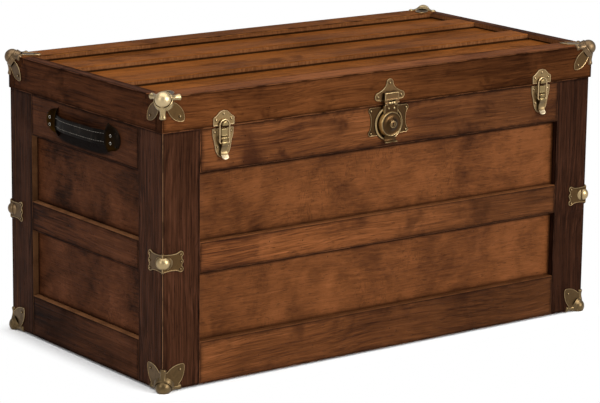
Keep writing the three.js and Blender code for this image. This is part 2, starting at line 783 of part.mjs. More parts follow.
const keeper = keeperGeometry();
const latchBase = latchBaseGeometry();
const latchLever = latchLeverGeometry();
const latchLoop = latchLoopGeometry();
for (const [end, sx] of [['left', -1], ['right', 1]]) {
  const group = new THREE.Group();
  group.position.set(sx * (half_case - latch_end_distance), front_y, seam_z);
  chest.add(group);
  place(`latch_keeper_${end}`, keeper.clone(), brass, group);
  place(`latch_base_${end}`, latchBase.clone(), brass, group);
  place(`latch_lever_${end}`, latchLever.clone(), brass, group);
  place(`latch_loop_${end}`, latchLoop.clone(), brass, group);
}

// Lock, drawn in the same frame as the latches
function lidPlateShape() {
  const r = lid_plate_lobe_radius;
  const x = lid_plate_lobe_x;
  const z = lid_plate_lobe_z;
  const top = lid_plate_top_z;
  const shape = new THREE.Shape();
  shape.moveTo(-x, lid_plate_foot_z + arris);
  shape.absarc(-x, z, r, -Math.PI / 2, Math.PI / 2, true);
  shape.quadraticCurveTo(-lid_plate_bend_x, lid_plate_bend_z, -r, top);
  shape.absarc(0, top, r, Math.PI, 0, true);
  shape.quadraticCurveTo(lid_plate_bend_x, lid_plate_bend_z, x, z + r);
  shape.absarc(x, z, r, Math.PI / 2, -Math.PI / 2, true);
  shape.closePath();
  return shape;
}

function lockLidPlateGeometry() {
  const face = lid_overhang + fit_gap;
  const plate = outwards(lidPlateShape(), face, face + metal_sheet, 0, 8);
  const half = housing_width / 2;
  const frame = polygon([
    [-half, housing_bottom], [half, housing_bottom], [half, housing_bottom + housing_height],
    [-half, housing_bottom + housing_height],
  ]);
  const front = face + metal_sheet + housing_depth;
  const housing = outwards(frame, face, front, arris);
  const b = housing_border;
  const dent = block(
    -half + b, half - b, -front - overrun, -front + housing_recess,
    housing_bottom + b, housing_bottom + housing_height - b,
  );
  const hinge_half = hasp_hinge_width / 2;
  const pin = barAlongX(hasp_pin_radius, -hinge_half, hinge_half, hasp_axis_out, hasp_axis_z, 10);
  let piece = joined(solid(plate), solid(housing)).subtract(solid(dent)).add(solid(pin));
  for (const sx of [-1, 1]) {
    const inner = sx * (hasp_barrel_width / 2 + fit_gap);
    const outer = sx * hinge_half;
    const x0 = Math.min(inner, outer);
    const x1 = Math.max(inner, outer);
    const knuckle = barAlongX(hasp_barrel_radius, x0, x1, hasp_axis_out, hasp_axis_z, 12);
    const lug = block(x0, x1, -face, -hasp_axis_out, hasp_axis_z, housing_bottom + b);
    piece = joined(piece, solid(knuckle), solid(lug));
  }
  return geometryOf(piece);
}

function lockPlateShape() {
  const r = lock_plate_ear_radius;
  const x = lock_plate_ear_x;
  const top = -lock_plate_ear_top;
  const low = -lock_plate_ear_bottom;
  const shape = new THREE.Shape();
  shape.moveTo(-x, top + r);
  shape.absarc(-x, top, r, Math.PI / 2, Math.PI, false);
  shape.quadraticCurveTo(-lock_plate_waist_x, (top + low) / 2, -x - r, low);
  shape.absarc(-x, low, r, Math.PI, Math.PI * 1.5, false);
  shape.lineTo(x, low - r);
  shape.absarc(x, low, r, -Math.PI / 2, 0, false);
  shape.quadraticCurveTo(lock_plate_waist_x, (top + low) / 2, x + r, top);
  shape.absarc(x, top, r, 0, Math.PI / 2, false);
  shape.closePath();
  return shape;
}

function lockPlateGeometry() {
  const plate = outwards(lockPlateShape(), fit_gap, fit_gap + metal_sheet, 0, 5);
  const ring = new THREE.TorusGeometry(lock_ring_radius, lock_ring_tube, 8, 32).rotateX(Math.PI / 2);
  ring.translate(0, -fit_gap - metal_sheet, -lock_centre_drop);
  const disc = barOutwards(lock_ring_radius, lock_ring_radius, 0, -lock_centre_drop, fit_gap, fit_gap + metal_sheet, 32);
  const stud = barOutwards(catch_radius, catch_radius, 0, -lock_centre_drop, fit_gap, catch_out, 16);
  const far = lock_ring_radius * 2;
  const wood = block(-far, far, -fit_gap, far, -far * 2, far);
  const piece = joined(solid(plate), solid(ring), solid(disc)).subtract(solid(wood));
  return geometryOf(piece.add(solid(stud)));
}

// Hasp: a hollow drum with a dished front, hung from the hinge by a broad strap, with a lip to pull
function haspGeometry() {
  const wall = drum_wall;
  const z = -lock_centre_drop;
  const profile = [
    [0, drum_front_out - drum_dish_depth - wall],
    [drum_front_radius - wall, drum_front_out - drum_dish_depth - wall],
    [drum_base_radius - wall, drum_back_out], [drum_base_radius, drum_back_out],
    [drum_shoulder_radius, drum_shoulder_out], [drum_front_radius, drum_front_out - arris], [drum_front_radius - drum_rim_width / 2, drum_front_out],
    [drum_front_radius - drum_rim_width, drum_front_out - drum_dish_depth],
    [boss_radius, drum_front_out - drum_dish_depth], [boss_radius * boss_top_share, boss_out], [0, boss_out],
  ];
  const lathe = new THREE.LatheGeometry(profile.map(([r, out]) => new THREE.Vector2(r, out)), 36);
  lathe.rotateX(Math.PI).translate(0, 0, z);
  const barrel_half = hasp_barrel_width / 2;
  const barrel = barAlongX(
    hasp_barrel_radius, -barrel_half + fit_gap, barrel_half - fit_gap, hasp_axis_out, hasp_axis_z, 12,
  );
  const strap_out = hasp_axis_out - hasp_barrel_radius / 2;
  const strap_top = hasp_axis_z - hasp_barrel_radius - fit_gap * 2;
  const strap_low = z + drum_front_radius * strap_cover_share;
  const strap_half = hasp_strap_width / 2;
  const neck = block(
    -barrel_half + fit_gap, barrel_half - fit_gap,
    -strap_out - hasp_strap_sheet / 2, -strap_out + hasp_strap_sheet / 2, strap_top - overrun, hasp_axis_z,
  );
  const strap = block(
    -strap_half, strap_half,
    -strap_out - hasp_strap_sheet / 2, -strap_out + hasp_strap_sheet / 2, strap_low, strap_top,
  );
  const lip_top = z - drum_base_radius + 2 * wall;
  const lip_near = metal_sheet + lock_ring_tube + hasp_strap_sheet / 2 + fit_gap * 3;
  const path = [
    [-lip_near, lip_top], [-lip_near, -lip_drop + 3 * wall],
    [-lip_near - wall, -lip_drop + wall], [-lip_out, -lip_drop + wall / 2],
  ];
  const lip = alongX(stripShape(path, hasp_strap_sheet, 8), -lip_width / 2, lip_width / 2);
  const bore = barAlongX(
    hasp_pin_radius + fit_gap, -strap_half - overrun, strap_half + overrun, hasp_axis_out, hasp_axis_z, 12,
  );
  const plug_bore = barOutwards(
    plug_radius + fit_gap, plug_radius + fit_gap, 0, z, drum_back_out, boss_out + overrun, 24,
  );
  const hollow = barOutwards(
    drum_front_radius - wall, drum_front_radius - wall, 0, z, drum_back_out - overrun,
    drum_front_out - drum_dish_depth - wall, 36,
  );
  const body = joined(solid(lathe), solid(strap), solid(neck), solid(lip)).subtract(solid(hollow));
  return geometryOf(body.add(solid(barrel)).subtract(solid(bore)).subtract(solid(plug_bore)));
}

function plugGeometry() {
  const z = -lock_centre_drop;
  const back = plug_front_out - plug_length;
  const plug = barOutwards(plug_radius, plug_radius, 0, z, back, plug_front_out, 24);
  const slot = block(
    -key_slot_width / 2, key_slot_width / 2, -plug_front_out - overrun, -plug_front_out + key_slot_depth,
    z - key_slot_length / 2, z + key_slot_length / 2,
  );
  const cam = block(
    -plug_radius / 2, cam_length, -back - cam_thickness, -back, z - plug_radius / 2, z + plug_radius / 2,
  );
  return geometryOf(joined(solid(plug), solid(cam)).subtract(solid(slot)));
}

const lock = new THREE.Group();
lock.position.set(0, front_y, seam_z);
chest.add(lock);
place('lock_lid_plate', lockLidPlateGeometry(), brass, lock);
place('lock_plate', lockPlateGeometry(), brass, lock);
place('hasp', haspGeometry(), brass, lock);
place('key_plug', plugGeometry(), brass, lock);

// Handle: bowed leather strap held by two flared metal caps, drawn on a front wall with its middle at z = 0
function strapGeometry() {
  const seat = strap_seat + strap_thickness / 2;
  const bow = strap_bow_shares.map(([along, rise]) => [cap_mouth * along, -seat - strap_rise * rise]);
  const right = [...bow.slice().reverse(), [cap_mouth, -seat - fit_gap], [strap_half_length, -seat]];
  const left = right.map(([x, y]) => [-x, y]).reverse();
  const path = [...left, [0, -seat - strap_rise], ...right];
  return alongZ(stripShape(path, strap_thickness, 26), -strap_width / 2, strap_width / 2);
}

function capGeometry() {
  const half_mouth = cap_mouth_width / 2;
  const far = cap_mouth + cap_length;
  const side = cap_plan_shares.map(([along, width]) => [cap_mouth + cap_length * along, half_mouth * width]);
  const plan = polygon([
    [cap_mouth, -half_mouth], ...side.map(([x, z]) => [x, -z]), [far, 0], ...side.slice().reverse(),
    [cap_mouth, half_mouth],
  ]);
  const block_of_plan = outwards(plan, fit_gap, fit_gap + cap_rise, 0, 6);
  const [shoulder_rise, shoulder_place] = cap_shoulder_shares;
  const section = new THREE.Shape();
  section.moveTo(-fit_gap, -half_mouth);
  section.quadraticCurveTo(-fit_gap - cap_rise * shoulder_rise, -half_mouth * shoulder_place, -fit_gap - cap_rise, 0);
  section.quadraticCurveTo(-fit_gap - cap_rise * shoulder_rise, half_mouth * shoulder_place, -fit_gap, half_mouth);
  section.closePath();
  const crown = alongX(section, cap_mouth, far, 6);
  const low = strap_seat - cap_slot_gap;
  const high = strap_seat + strap_thickness + cap_slot_gap;
  const half_slot = strap_width / 2 + cap_slot_gap;
  const slot = block(cap_mouth - overrun, strap_half_length + cap_slot_gap, -low, -high, -half_slot, half_slot);
  return geometryOf(solid(block_of_plan).intersect(solid(crown)).subtract(solid(slot)));
}

const handleStrap = strapGeometry();
const capNear = capGeometry();
for (const end of ['left', 'right']) {
  const group = new THREE.Group();
  group.position.z = case_height - handle_drop;
  wallGroups[end].add(group);
  place(`handle_strap_${end}`, handleStrap.clone(), leather, group);
  const sides = end === 'left' ? [['back', -1], ['front', 1]] : [['front', -1], ['back', 1]];
  for (const [side, sx] of sides) {
    place(`handle_cap_${side}_${end}`, mirrored(capNear, sx, 1, 1), black_metal, group);
  }
}

// Continuous hinge: the knuckles of the two leaves alternate on one pin, which the case leaf carries
function hingeLeaf(on_lid) {
  const pitch = hinge_length / hinge_knuckles;
  const half = hinge_length / 2;
  const face = back_y + fit_gap;
  const leaf_low = on_lid ? hinge_axis_z + seam_gap : hinge_axis_z - hinge_leaf_width;
  const leaf_high = on_lid ? hinge_axis_z + hinge_leaf_width : hinge_axis_z - seam_gap;
  let piece = solid(block(-half, half, face, face + hinge_leaf_sheet, leaf_low, leaf_high));
  const sides = 10;
  for (let i = 0; i < hinge_knuckles; i += 1) {
    if ((i % 2 === 1) !== on_lid) continue;
    const x0 = -half + i * pitch + knuckle_gap / 2;
    const x1 = x0 + pitch - knuckle_gap;
    const knuckle = barAlongX(hinge_barrel_radius - fit_gap, x0, x1, -hinge_axis_y, hinge_axis_z, sides);
    piece = piece.add(solid(knuckle));
  }
  const outer = -half + knuckle_gap;
  const pin = barAlongX(hinge_pin_radius, outer, half - pitch - knuckle_gap, -hinge_axis_y, hinge_axis_z, sides);
  const reach = half + overrun;
  const bore_radius = hinge_pin_radius + hinge_bore_gap;
  const bore = barAlongX(bore_radius, -reach, reach, -hinge_axis_y, hinge_axis_z, sides);
  piece = on_lid ? piece.subtract(solid(bore)) : piece.add(solid(pin));
  for (let i = 0; i < hinge_knuckles; i += 1) {
    if ((i % 2 === 1) === on_lid) continue;
    const x0 = -half + i * pitch - knuckle_gap / 2;
    const room = hinge_barrel_radius + fit_gap;
    const opposite = block(
      x0, x0 + pitch + knuckle_gap, face - overrun, face + 2 * room + overrun,
      hinge_axis_z - room, hinge_axis_z + room,
    );
    const pin_room = solid(pin);
    piece = on_lid ? piece.subtract(solid(opposite)) : piece.subtract(solid(opposite).subtract(pin_room));
  }
  return geometryOf(piece);
}

place('hinge_case_leaf', hingeLeaf(false), brass);
place('hinge_lid_leaf', hingeLeaf(true), brass);

// Lid stay at the right end, with the arm hanging inside the closed case
const stay_x = half_case - board - stay_plane_inset;
const lid_pin_y = hinge_axis_y - Math.sqrt(stay_circle ** 2 - stay_lid_pin_rise ** 2);
const lid_pin_z = hinge_axis_z + stay_lid_pin_rise;
const case_pin_y = hinge_axis_y - Math.sqrt(stay_circle ** 2 - stay_case_pin_drop ** 2);
const case_pin_z = hinge_axis_z - stay_case_pin_drop;
const stay_tilt = Math.atan2(case_pin_y - lid_pin_y, lid_pin_z - case_pin_z);

function stayArmGeometry() {
  const half = stay_arm_width / 2;
  const slot = stay_pin_radius + fit_gap;
  const shape = new THREE.Shape();
  shape.moveTo(-half, 0);
  shape.lineTo(-half, -stay_arm_reach + half);
  shape.absarc(0, -stay_arm_reach + half, half, Math.PI, Math.PI * 2, false);
  shape.lineTo(half, 0);
  shape.absarc(0, 0, half, 0, Math.PI, false);
  const eye = new THREE.Path();
  eye.absarc(0, 0, slot, 0, Math.PI * 2, true);
  const run = new THREE.Path();
  run.moveTo(slot, -stay_slot_start);
  run.absarc(0, -stay_slot_start, slot, 0, Math.PI, false);
  run.lineTo(-slot, -stay_arm_reach + half);
  run.absarc(0, -stay_arm_reach + half, slot, Math.PI, Math.PI * 2, false);
  run.closePath();
  shape.holes.push(eye, run);
  return alongX(shape, -stay_arm_sheet / 2, stay_arm_sheet / 2, 8);
}

// A bracket screwed to a board, with the pin and its head that hold the arm
function stayBracketGeometry(wall_x, drop) {
  const out = wall_x - stay_x;
  const half = stay_plate_width / 2;
  const near = out - fit_gap - stay_plate_sheet;
  const plate = block(near, out - fit_gap, -half, half, -drop, stay_plate_height - drop);
  const inner = -stay_arm_sheet / 2 - fit_gap;
  const pin = new THREE.CylinderGeometry(stay_pin_radius, stay_pin_radius, near - inner + metal_sheet, 16);
  pin.rotateZ(Math.PI / 2).translate((near + inner) / 2 + metal_sheet / 2, 0, 0);
  const head = new THREE.CylinderGeometry(stay_pin_head, stay_pin_head, stay_head_sheet, 16);
  head.rotateZ(Math.PI / 2).translate(inner - stay_head_sheet / 2, 0, 0);
  const collar = new THREE.CylinderGeometry(stay_pin_head, stay_pin_head, near + inner, 16);
  collar.rotateZ(Math.PI / 2).translate((near - inner) / 2, 0, 0);
  return geometryOf(joined(solid(plate), solid(pin), solid(head), solid(collar)));
}

const arm = place('stay_arm', stayArmGeometry(), brass);
arm.position.set(stay_x, lid_pin_y, lid_pin_z);
arm.rotation.x = stay_tilt;
const lid_board_inner = half_lid - lid_end_board;
const lidBracket = place('stay_lid_bracket', stayBracketGeometry(lid_board_inner, stay_lid_pin_rise - stay_wall_gap), brass);
lidBracket.position.set(stay_x, lid_pin_y, lid_pin_z);
const caseBracket = place('stay_case_bracket', stayBracketGeometry(half_case - board, stay_plate_height / 2), brass);
caseBracket.position.set(stay_x, case_pin_y, case_pin_z);

export default chest;
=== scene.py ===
import math

import bmesh
import bpy
from mathutils import Matrix, Vector


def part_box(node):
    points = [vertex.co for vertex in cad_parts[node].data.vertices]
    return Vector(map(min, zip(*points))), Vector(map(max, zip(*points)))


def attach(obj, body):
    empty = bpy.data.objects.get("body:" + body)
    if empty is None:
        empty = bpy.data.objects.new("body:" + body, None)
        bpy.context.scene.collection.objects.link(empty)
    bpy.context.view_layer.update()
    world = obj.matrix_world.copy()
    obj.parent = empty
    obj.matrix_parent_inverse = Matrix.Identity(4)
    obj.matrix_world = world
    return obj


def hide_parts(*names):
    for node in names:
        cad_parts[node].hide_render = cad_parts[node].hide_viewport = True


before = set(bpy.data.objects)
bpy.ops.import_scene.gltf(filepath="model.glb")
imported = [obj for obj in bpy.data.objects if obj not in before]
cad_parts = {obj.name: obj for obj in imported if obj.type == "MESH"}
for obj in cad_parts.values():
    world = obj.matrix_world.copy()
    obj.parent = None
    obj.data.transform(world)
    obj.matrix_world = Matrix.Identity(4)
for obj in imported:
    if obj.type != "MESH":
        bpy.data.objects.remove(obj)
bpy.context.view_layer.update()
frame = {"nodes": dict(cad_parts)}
nodes = frame["nodes"]

# the chest's measures in millimetres, as in the part's source; SHIFT centres the part's box on the origin
MM = 0.001
SHIFT = 2.7
FRONT, BACK, LID_FRONT = -274 + SHIFT, 277 + SHIFT, -277 + SHIFT
HALF_CASE, HALF_LID = 530.5, 533.5
WOOD_BOTTOM, SEAM, LID_TOP = 4.0, 501.0, 569.6
CLAMP_Z = WOOD_BOTTOM + 248.5
AXIS_Y, AXIS_Z = 281 + SHIFT, 501.3
LATCH_X = 396.0
STRAP_Y, STRAP_Z = 1.5 + SHIFT, 462.0
# on the front, from the seam up and out from the wood
LATCH_PIN = (-22.0, 7.5)
LEVER_PIN = (-31.0, 7.5)
HASP_PIN = (4.2, 11.0)
LOCK_Y = -38.0

X, Y, Z = Vector((1, 0, 0)), Vector((0, 1, 0)), Vector((0, 0, 1))
SHARP = math.radians(38.0)
# the turn of one facet of a rounded corner in degrees, and the distance within which two points are one
FILLET_STEP, SAME_POINT = 9.0, 0.05
ENDS = (("left", -1), ("right", 1))
SIDES = (("front", -1), ("back", 1))
# the case's upright edges: name, signs of x and y, the face's y
SPOTS = [(f"{side}_{end}", sx, sy, FRONT if sy < 0 else BACK) for end, sx in ENDS for side, sy in SIDES]

# ---------------------------------------------------------------- geometry helpers


def axes(x, y, z, at):
    """The place whose local x, y and z point along these directions, with its origin at that point."""
    matrix = Matrix((x, y, z)).transposed().to_4x4()
    matrix.translation = at
    return matrix


def raised(height):
    return Matrix.Translation((0, 0, height))


def along_x(y, z):
    """A place with its z along the chest's length, for what turns on a pin."""
    return axes(Y, Z, X, (0, y, z))


def facing_out(centre, direction):
    turn = Vector(direction).normalized().to_track_quat("Z", "Y").to_matrix().to_4x4()
    return Matrix.Translation(centre) @ turn


def moved(bm, place):
    """Moves a bmesh, and turns its faces where the move mirrors it."""
    bmesh.ops.transform(bm, matrix=place, verts=bm.verts)
    if place.determinant() < 0:
        bmesh.ops.reverse_faces(bm, faces=bm.faces)


def merge(bm, part, place):
    """Moves part and adds it to bm."""
    moved(part, place)
    scratch = bpy.data.meshes.new("part")
    part.to_mesh(scratch)
    part.free()
    bm.from_mesh(scratch)
    bpy.data.meshes.remove(scratch)


def linked(name, data):
    obj = bpy.data.objects.new(name, data)
    bpy.context.scene.collection.objects.link(obj)
    return obj


def finish_mesh(name, bm, metals, body, replaced, place=None):
    """Turns a bmesh in millimetres into a piece that rides a body, with hard edges where it bends sharply."""
    if place is not None:
        moved(bm, place)
    bmesh.ops.scale(bm, vec=(MM, MM, MM), verts=bm.verts)
    bmesh.ops.remove_doubles(bm, verts=bm.verts, dist=0.000004)
    for face in bm.faces:
        face.smooth = True
    for edge in bm.edges:
        edge.smooth = len(edge.link_faces) == 2 and edge.calc_face_angle(0) < SHARP
    mesh = bpy.data.meshes.new(name)
    bm.to_mesh(mesh)
    bm.free()
    for metal in metals:
        mesh.materials.append(metal)
    obj = linked(name, mesh)
    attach(obj, body)
    if replaced:
        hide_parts(replaced)
    return obj


def dressed(obj, material, weld, width, angle):
    """Gives a CAD node its material and rounds its arrises."""
    obj.data.materials.clear()
    obj.data.materials.append(material)
    obj.modifiers.new("weld", "WELD").merge_threshold = weld
    bevel = obj.modifiers.new("arris", "BEVEL")
    bevel.width = width
    bevel.segments = 2
    bevel.limit_method = "ANGLE"
    bevel.angle_limit = math.radians(angle)


def painted(bm, start, index, stop=None):
    """Gives the faces made since start, or up to stop, another of the piece's metals."""
    bm.faces.ensure_lookup_table()
    for face in bm.faces[start:stop]:
        face.material_index = index


def grid_faces(bm, rows, closed=True, bright=0):
    """Faces between rows of vertices of the same length; each row is a closed loop if closed."""
    for low, high in zip(rows, rows[1:]):
        n = len(low)
        for i in range(n if closed else n - 1):
            j = (i + 1) % n
            bm.faces.new((low[i], low[j], high[j], high[i])).material_index = bright


def end_faces(bm, rows):
    return [bm.faces.new(list(reversed(rows[0]))), bm.faces.new(rows[-1])]


def turns(count):
    return [2 * math.pi * k / count for k in range(count)]


def revolve(bm, profile, segments, matrix, caps=True, bright=()):
    """A lathe form round +Z: profile is (radius, height) from the lowest outside point up to the top.

    bright lists the steps of the profile that are rubbed and shine.
    """
    rows = []
    for r, h in profile:
        r = max(r, 0.0005)
        rows.append([bm.verts.new(matrix @ Vector((r * math.cos(a), r * math.sin(a), h))) for a in turns(segments)])
    for i in range(len(rows) - 1):
        grid_faces(bm, rows[i : i + 2], bright=int(i in bright))
    if caps:
        end_faces(bm, rows)


def ring(bm, centre, side, high, radius, segments):
    return [bm.verts.new(centre + side * radius * math.cos(t) + high * radius * math.sin(t)) for t in turns(segments)]


def tube(bm, points, radii, segments=16, up=Y):
    """A round bar along points with a radius at each, closed at both ends."""
    rows = []
    for i, (point, radius) in enumerate(zip(points, radii)):
        along = (points[min(i + 1, len(points) - 1)] - points[max(i - 1, 0)]).normalized()
        side = along.cross(up).normalized()
        rows.append(ring(bm, point, side, side.cross(along).normalized(), radius, segments))
    grid_faces(bm, rows)
    end_faces(bm, rows)


def wire_ring(bm, points, radius, segments):
    """A ring of wire through a closed loop of points at one height."""
    rows = []
    for i, point in enumerate(points):
        side = (points[(i + 1) % len(points)] - points[i - 1]).normalized().cross(Z).normalized()
        rows.append(ring(bm, point, side, Z, radius, segments))
    grid_faces(bm, rows + [rows[0]])


def arc(cx, cy, r, start, end, steps=14, tall=None):
    """Points on an arc, angles in degrees, anticlockwise if end is above start; tall is its other radius."""
    angles = (math.radians(start + (end - start) * i / steps) for i in range(steps + 1))
    return [(cx + r * math.cos(a), cy + (tall or r) * math.sin(a)) for a in angles]


def bend(p, c, q, steps):
    """Points on a quadratic curve from p to q, without its ends."""
    out = []
    for i in range(1, steps):
        t = i / steps
        out.append(tuple((1 - t) ** 2 * a + 2 * t * (1 - t) * b + t * t * d for a, b, d in zip(p, c, q)))
    return out


def smooth_path(points, steps):
    """Catmull-Rom through the points."""
    pts = [Vector(p) for p in points]
    out = []
    for i in range(len(pts) - 1):
        p0, p1, p2, p3 = pts[max(i - 1, 0)], pts[i], pts[i + 1], pts[min(i + 2, len(pts) - 1)]
        for t in (k / steps for k in range(steps)):
            out.append(0.5 * ((2 * p1) + (p2 - p0) * t + (2 * p0 - 5 * p1 + 4 * p2 - p3) * t * t
                              + (3 * p1 - p0 - 3 * p2 + p3) * t ** 3))
    return out + [pts[-1]]


def rectangle(x0, y0, x1, y1, radius, top=None):
    """(x, y, radius) corners; top is the radius of the upper two."""
    top = radius if top is None else top
    return [(x0, y0, radius), (x1, y0, radius), (x1, y1, top), (x0, y1, top)]


def filleted(corners):
    """A closed outline from (x, y, radius) corners."""
    out = []
    for i, (x, y, r) in enumerate(corners):
        p = Vector((x, y))
        a = Vector(corners[i - 1][:2]) - p
        b = Vector(corners[(i + 1) % len(corners)][:2]) - p
        la, lb = a.length, b.length
        a.normalize()
        b.normalize()
        half = max(a.angle(b) / 2, 0.01)
        reach = min(r / math.tan(half), 0.49 * la, 0.49 * lb)
        radius = reach * math.tan(half)
        bisector = a + b
        if bisector.length < 1e-6 or radius < SAME_POINT:
            out.append((x, y))
            continue
        centre = p + bisector.normalized() * (radius / math.sin(half))
        start = p + a * reach - centre
        end = p + b * reach - centre
        a0 = math.atan2(start.y, start.x)
        turn = (math.atan2(end.y, end.x) - a0 + math.pi) % (2 * math.pi) - math.pi
        steps = max(2, int(abs(math.degrees(turn)) / FILLET_STEP + 0.01))
        out += arc(*centre, radius, math.degrees(a0), math.degrees(a0 + turn), steps)
    return out


def mirrored_outline(right):
    """A closed anticlockwise outline from the points of its right half, given from the bottom up."""
    right = clean(right)
    return right + [(-x, y) for x, y in reversed(right) if x > 1e-6]


def clean(outline):
    """Drops points that lie on the one before."""
    out = []
    for p in outline:
        if not out or math.dist(p, out[-1]) > SAME_POINT:
            out.append(p)
    if math.dist(out[0], out[-1]) <= SAME_POINT:
        out.pop()
    return out


def area(outline):
    return sum(a[0] * b[1] - b[0] * a[1] for a, b in zip(outline, outline[1:] + outline[:1])) / 2


def inset(outline, distance):
    out = []
    for i, p in enumerate(outline):
        a = Vector(p) - Vector(outline[i - 1])
        b = Vector(outline[(i + 1) % len(outline)]) - Vector(p)
        na = Vector((-a.y, a.x)).normalized()
        n = na + Vector((-b.y, b.x)).normalized()
        if n.length < 1e-6:
            n = na
        n.normalize()
        scale = distance / max(n.dot(na), 0.6)
        out.append((p[0] + n.x * scale, p[1] + n.y * scale))
    return out


def pressed(bm, outline, profile, place=None, rim=None):
    """A pressed metal form: the outline rises through (inset, height) steps and is closed on top and below.

    The outline is either points or (x, y, radius) corners of an upright rectangle. The steps from rim[0] to rim[1]
    are the rubbed, brighter edge. One more step lies inside the top's edge and keeps the flat's shading flat.
    """
    place = place or Matrix.Identity(4)
    corners = outline if len(outline[0]) == 3 else None
    if corners:
        middle = [sum(c[i] for c in corners) / len(corners) for i in (0, 1)]
    else:
        outline = clean(outline)
        if area(outline) < 0:
            outline.reverse()
    rows = []
    for distance, height in profile + [(profile[-1][0] + 0.25, profile[-1][1])]:
        if corners:
            ring = filleted([
                (x - math.copysign(distance, x - middle[0]), y - math.copysign(distance, y - middle[1]),
                 max(r - distance, 0.07)) for x, y, r in corners
            ])
        else:
            ring = inset(outline, distance) if abs(distance) > 1e-6 else outline
        rows.append([bm.verts.new(place @ Vector((x, y, height))) for x, y in ring])
    first, last = rim or (0, 0)
    grid_faces(bm, rows[: first + 1])
    grid_faces(bm, rows[first : last + 1], bright=1)
    grid_faces(bm, rows[last:])
    flats = end_faces(bm, rows)
    for flat in flats:
        flat.normal_update()
    bmesh.ops.triangulate(bm, faces=flats)


RIM = [(0.0, 0.0), (0.0, 1.0), (0.2, 1.75), (0.65, 2.15), (1.15, 2.1), (1.6, 1.65), (2.2, 1.3)]
THIN_RIM = [(0.0, 0.0), (0.0, 0.9), (0.15, 1.5), (0.5, 1.8), (0.9, 1.75), (1.25, 1.4), (1.7, 1.2)]
WORN = (1, 5)


def nails(bm, places, height, radius, rise):
    """Domed nail heads on a face, each in a dark pressed dimple with a raised edge."""
    for x, y in places:
        at = Matrix.Translation((x, y, height))

        def turned(profile, segments, bright=()):
            revolve(bm, [(radius * r, h) for r, h in profile], segments, at, caps=False, bright=bright)

        turned([(1.7, -0.4), (1.6, 0.2), (1.42, 0.35), (1.2, 0.05)], 24)
        start = len(bm.faces)
        turned([(1.25, 0.12), (0.9, 0.1)], 24)
        painted(bm, start, 2)
        dome = [(0.98, -0.2), (1, 0.3), (0.93, rise * 0.6), (0.74, rise * 0.88), (0.42, rise * 0.99), (0, rise)]
        turned(dome, 20, (3, 4))


def sheet_strip(bm, path, widths, thickness, crown, tongue):
    """A bent sheet along a path of points, with a width at each, as a closed solid with a bright far end."""
    count, columns = len(path), 9
    rows = []
    for i, point in enumerate(path):
        along = (path[min(i + 1, count - 1)] - path[max(i - 1, 0)]).normalized()
        normal = X.cross(along).normalized()
        top, bottom = [], []
        for s in (-1 + 2 * k / (columns - 1) for k in range(columns)):
            swell = 1 - s * s
            base = point + X * (s * widths[i] / 2) + normal * crown * swell
            base += along * (tongue * swell * (i / (count - 1)) ** 2)
            top.append(bm.verts.new(base + normal * thickness / 2))
            bottom.append(bm.verts.new(base - normal * thickness / 2))
        rows.append(top + bottom[::-1])
    pale_part = int(count * 0.72)
    grid_faces(bm, rows[: pale_part + 1])
    grid_faces(bm, rows[pale_part:], bright=1)
    end_faces(bm, rows)[1].material_index = 1


def front_place(x):
    """Local x right, y up from the seam, z out of the case's front."""
    return axes(X, Z, -Y, (x, FRONT, SEAM))


def corner_place(sx, sy, x, y, z, flip=1):
    """Local octant with the wood at x, y, z > 0, moved to one of the chest's corners."""
    return axes(-sx * X, -sy * Y, flip * Z, (x, y, z))


# ---------------------------------------------------------------- materials


class Value:
    """A node's output, which makes a math node of each + - * and abs."""

    def __init__(self, nodes, socket):
        self.nodes, self.socket = nodes, socket

    def __add__(self, other):
        return self.nodes.math("ADD", self, other)

    def __sub__(self, other):
        return self.nodes.math("SUBTRACT", self, other)

    def __rsub__(self, other):
        return self.nodes.math("SUBTRACT", other, self)

    def __mul__(self, other):
        return self.nodes.math("MULTIPLY", self, other)

    def __abs__(self):
        return self.nodes.math("ABSOLUTE", self)

    __radd__ = __add__


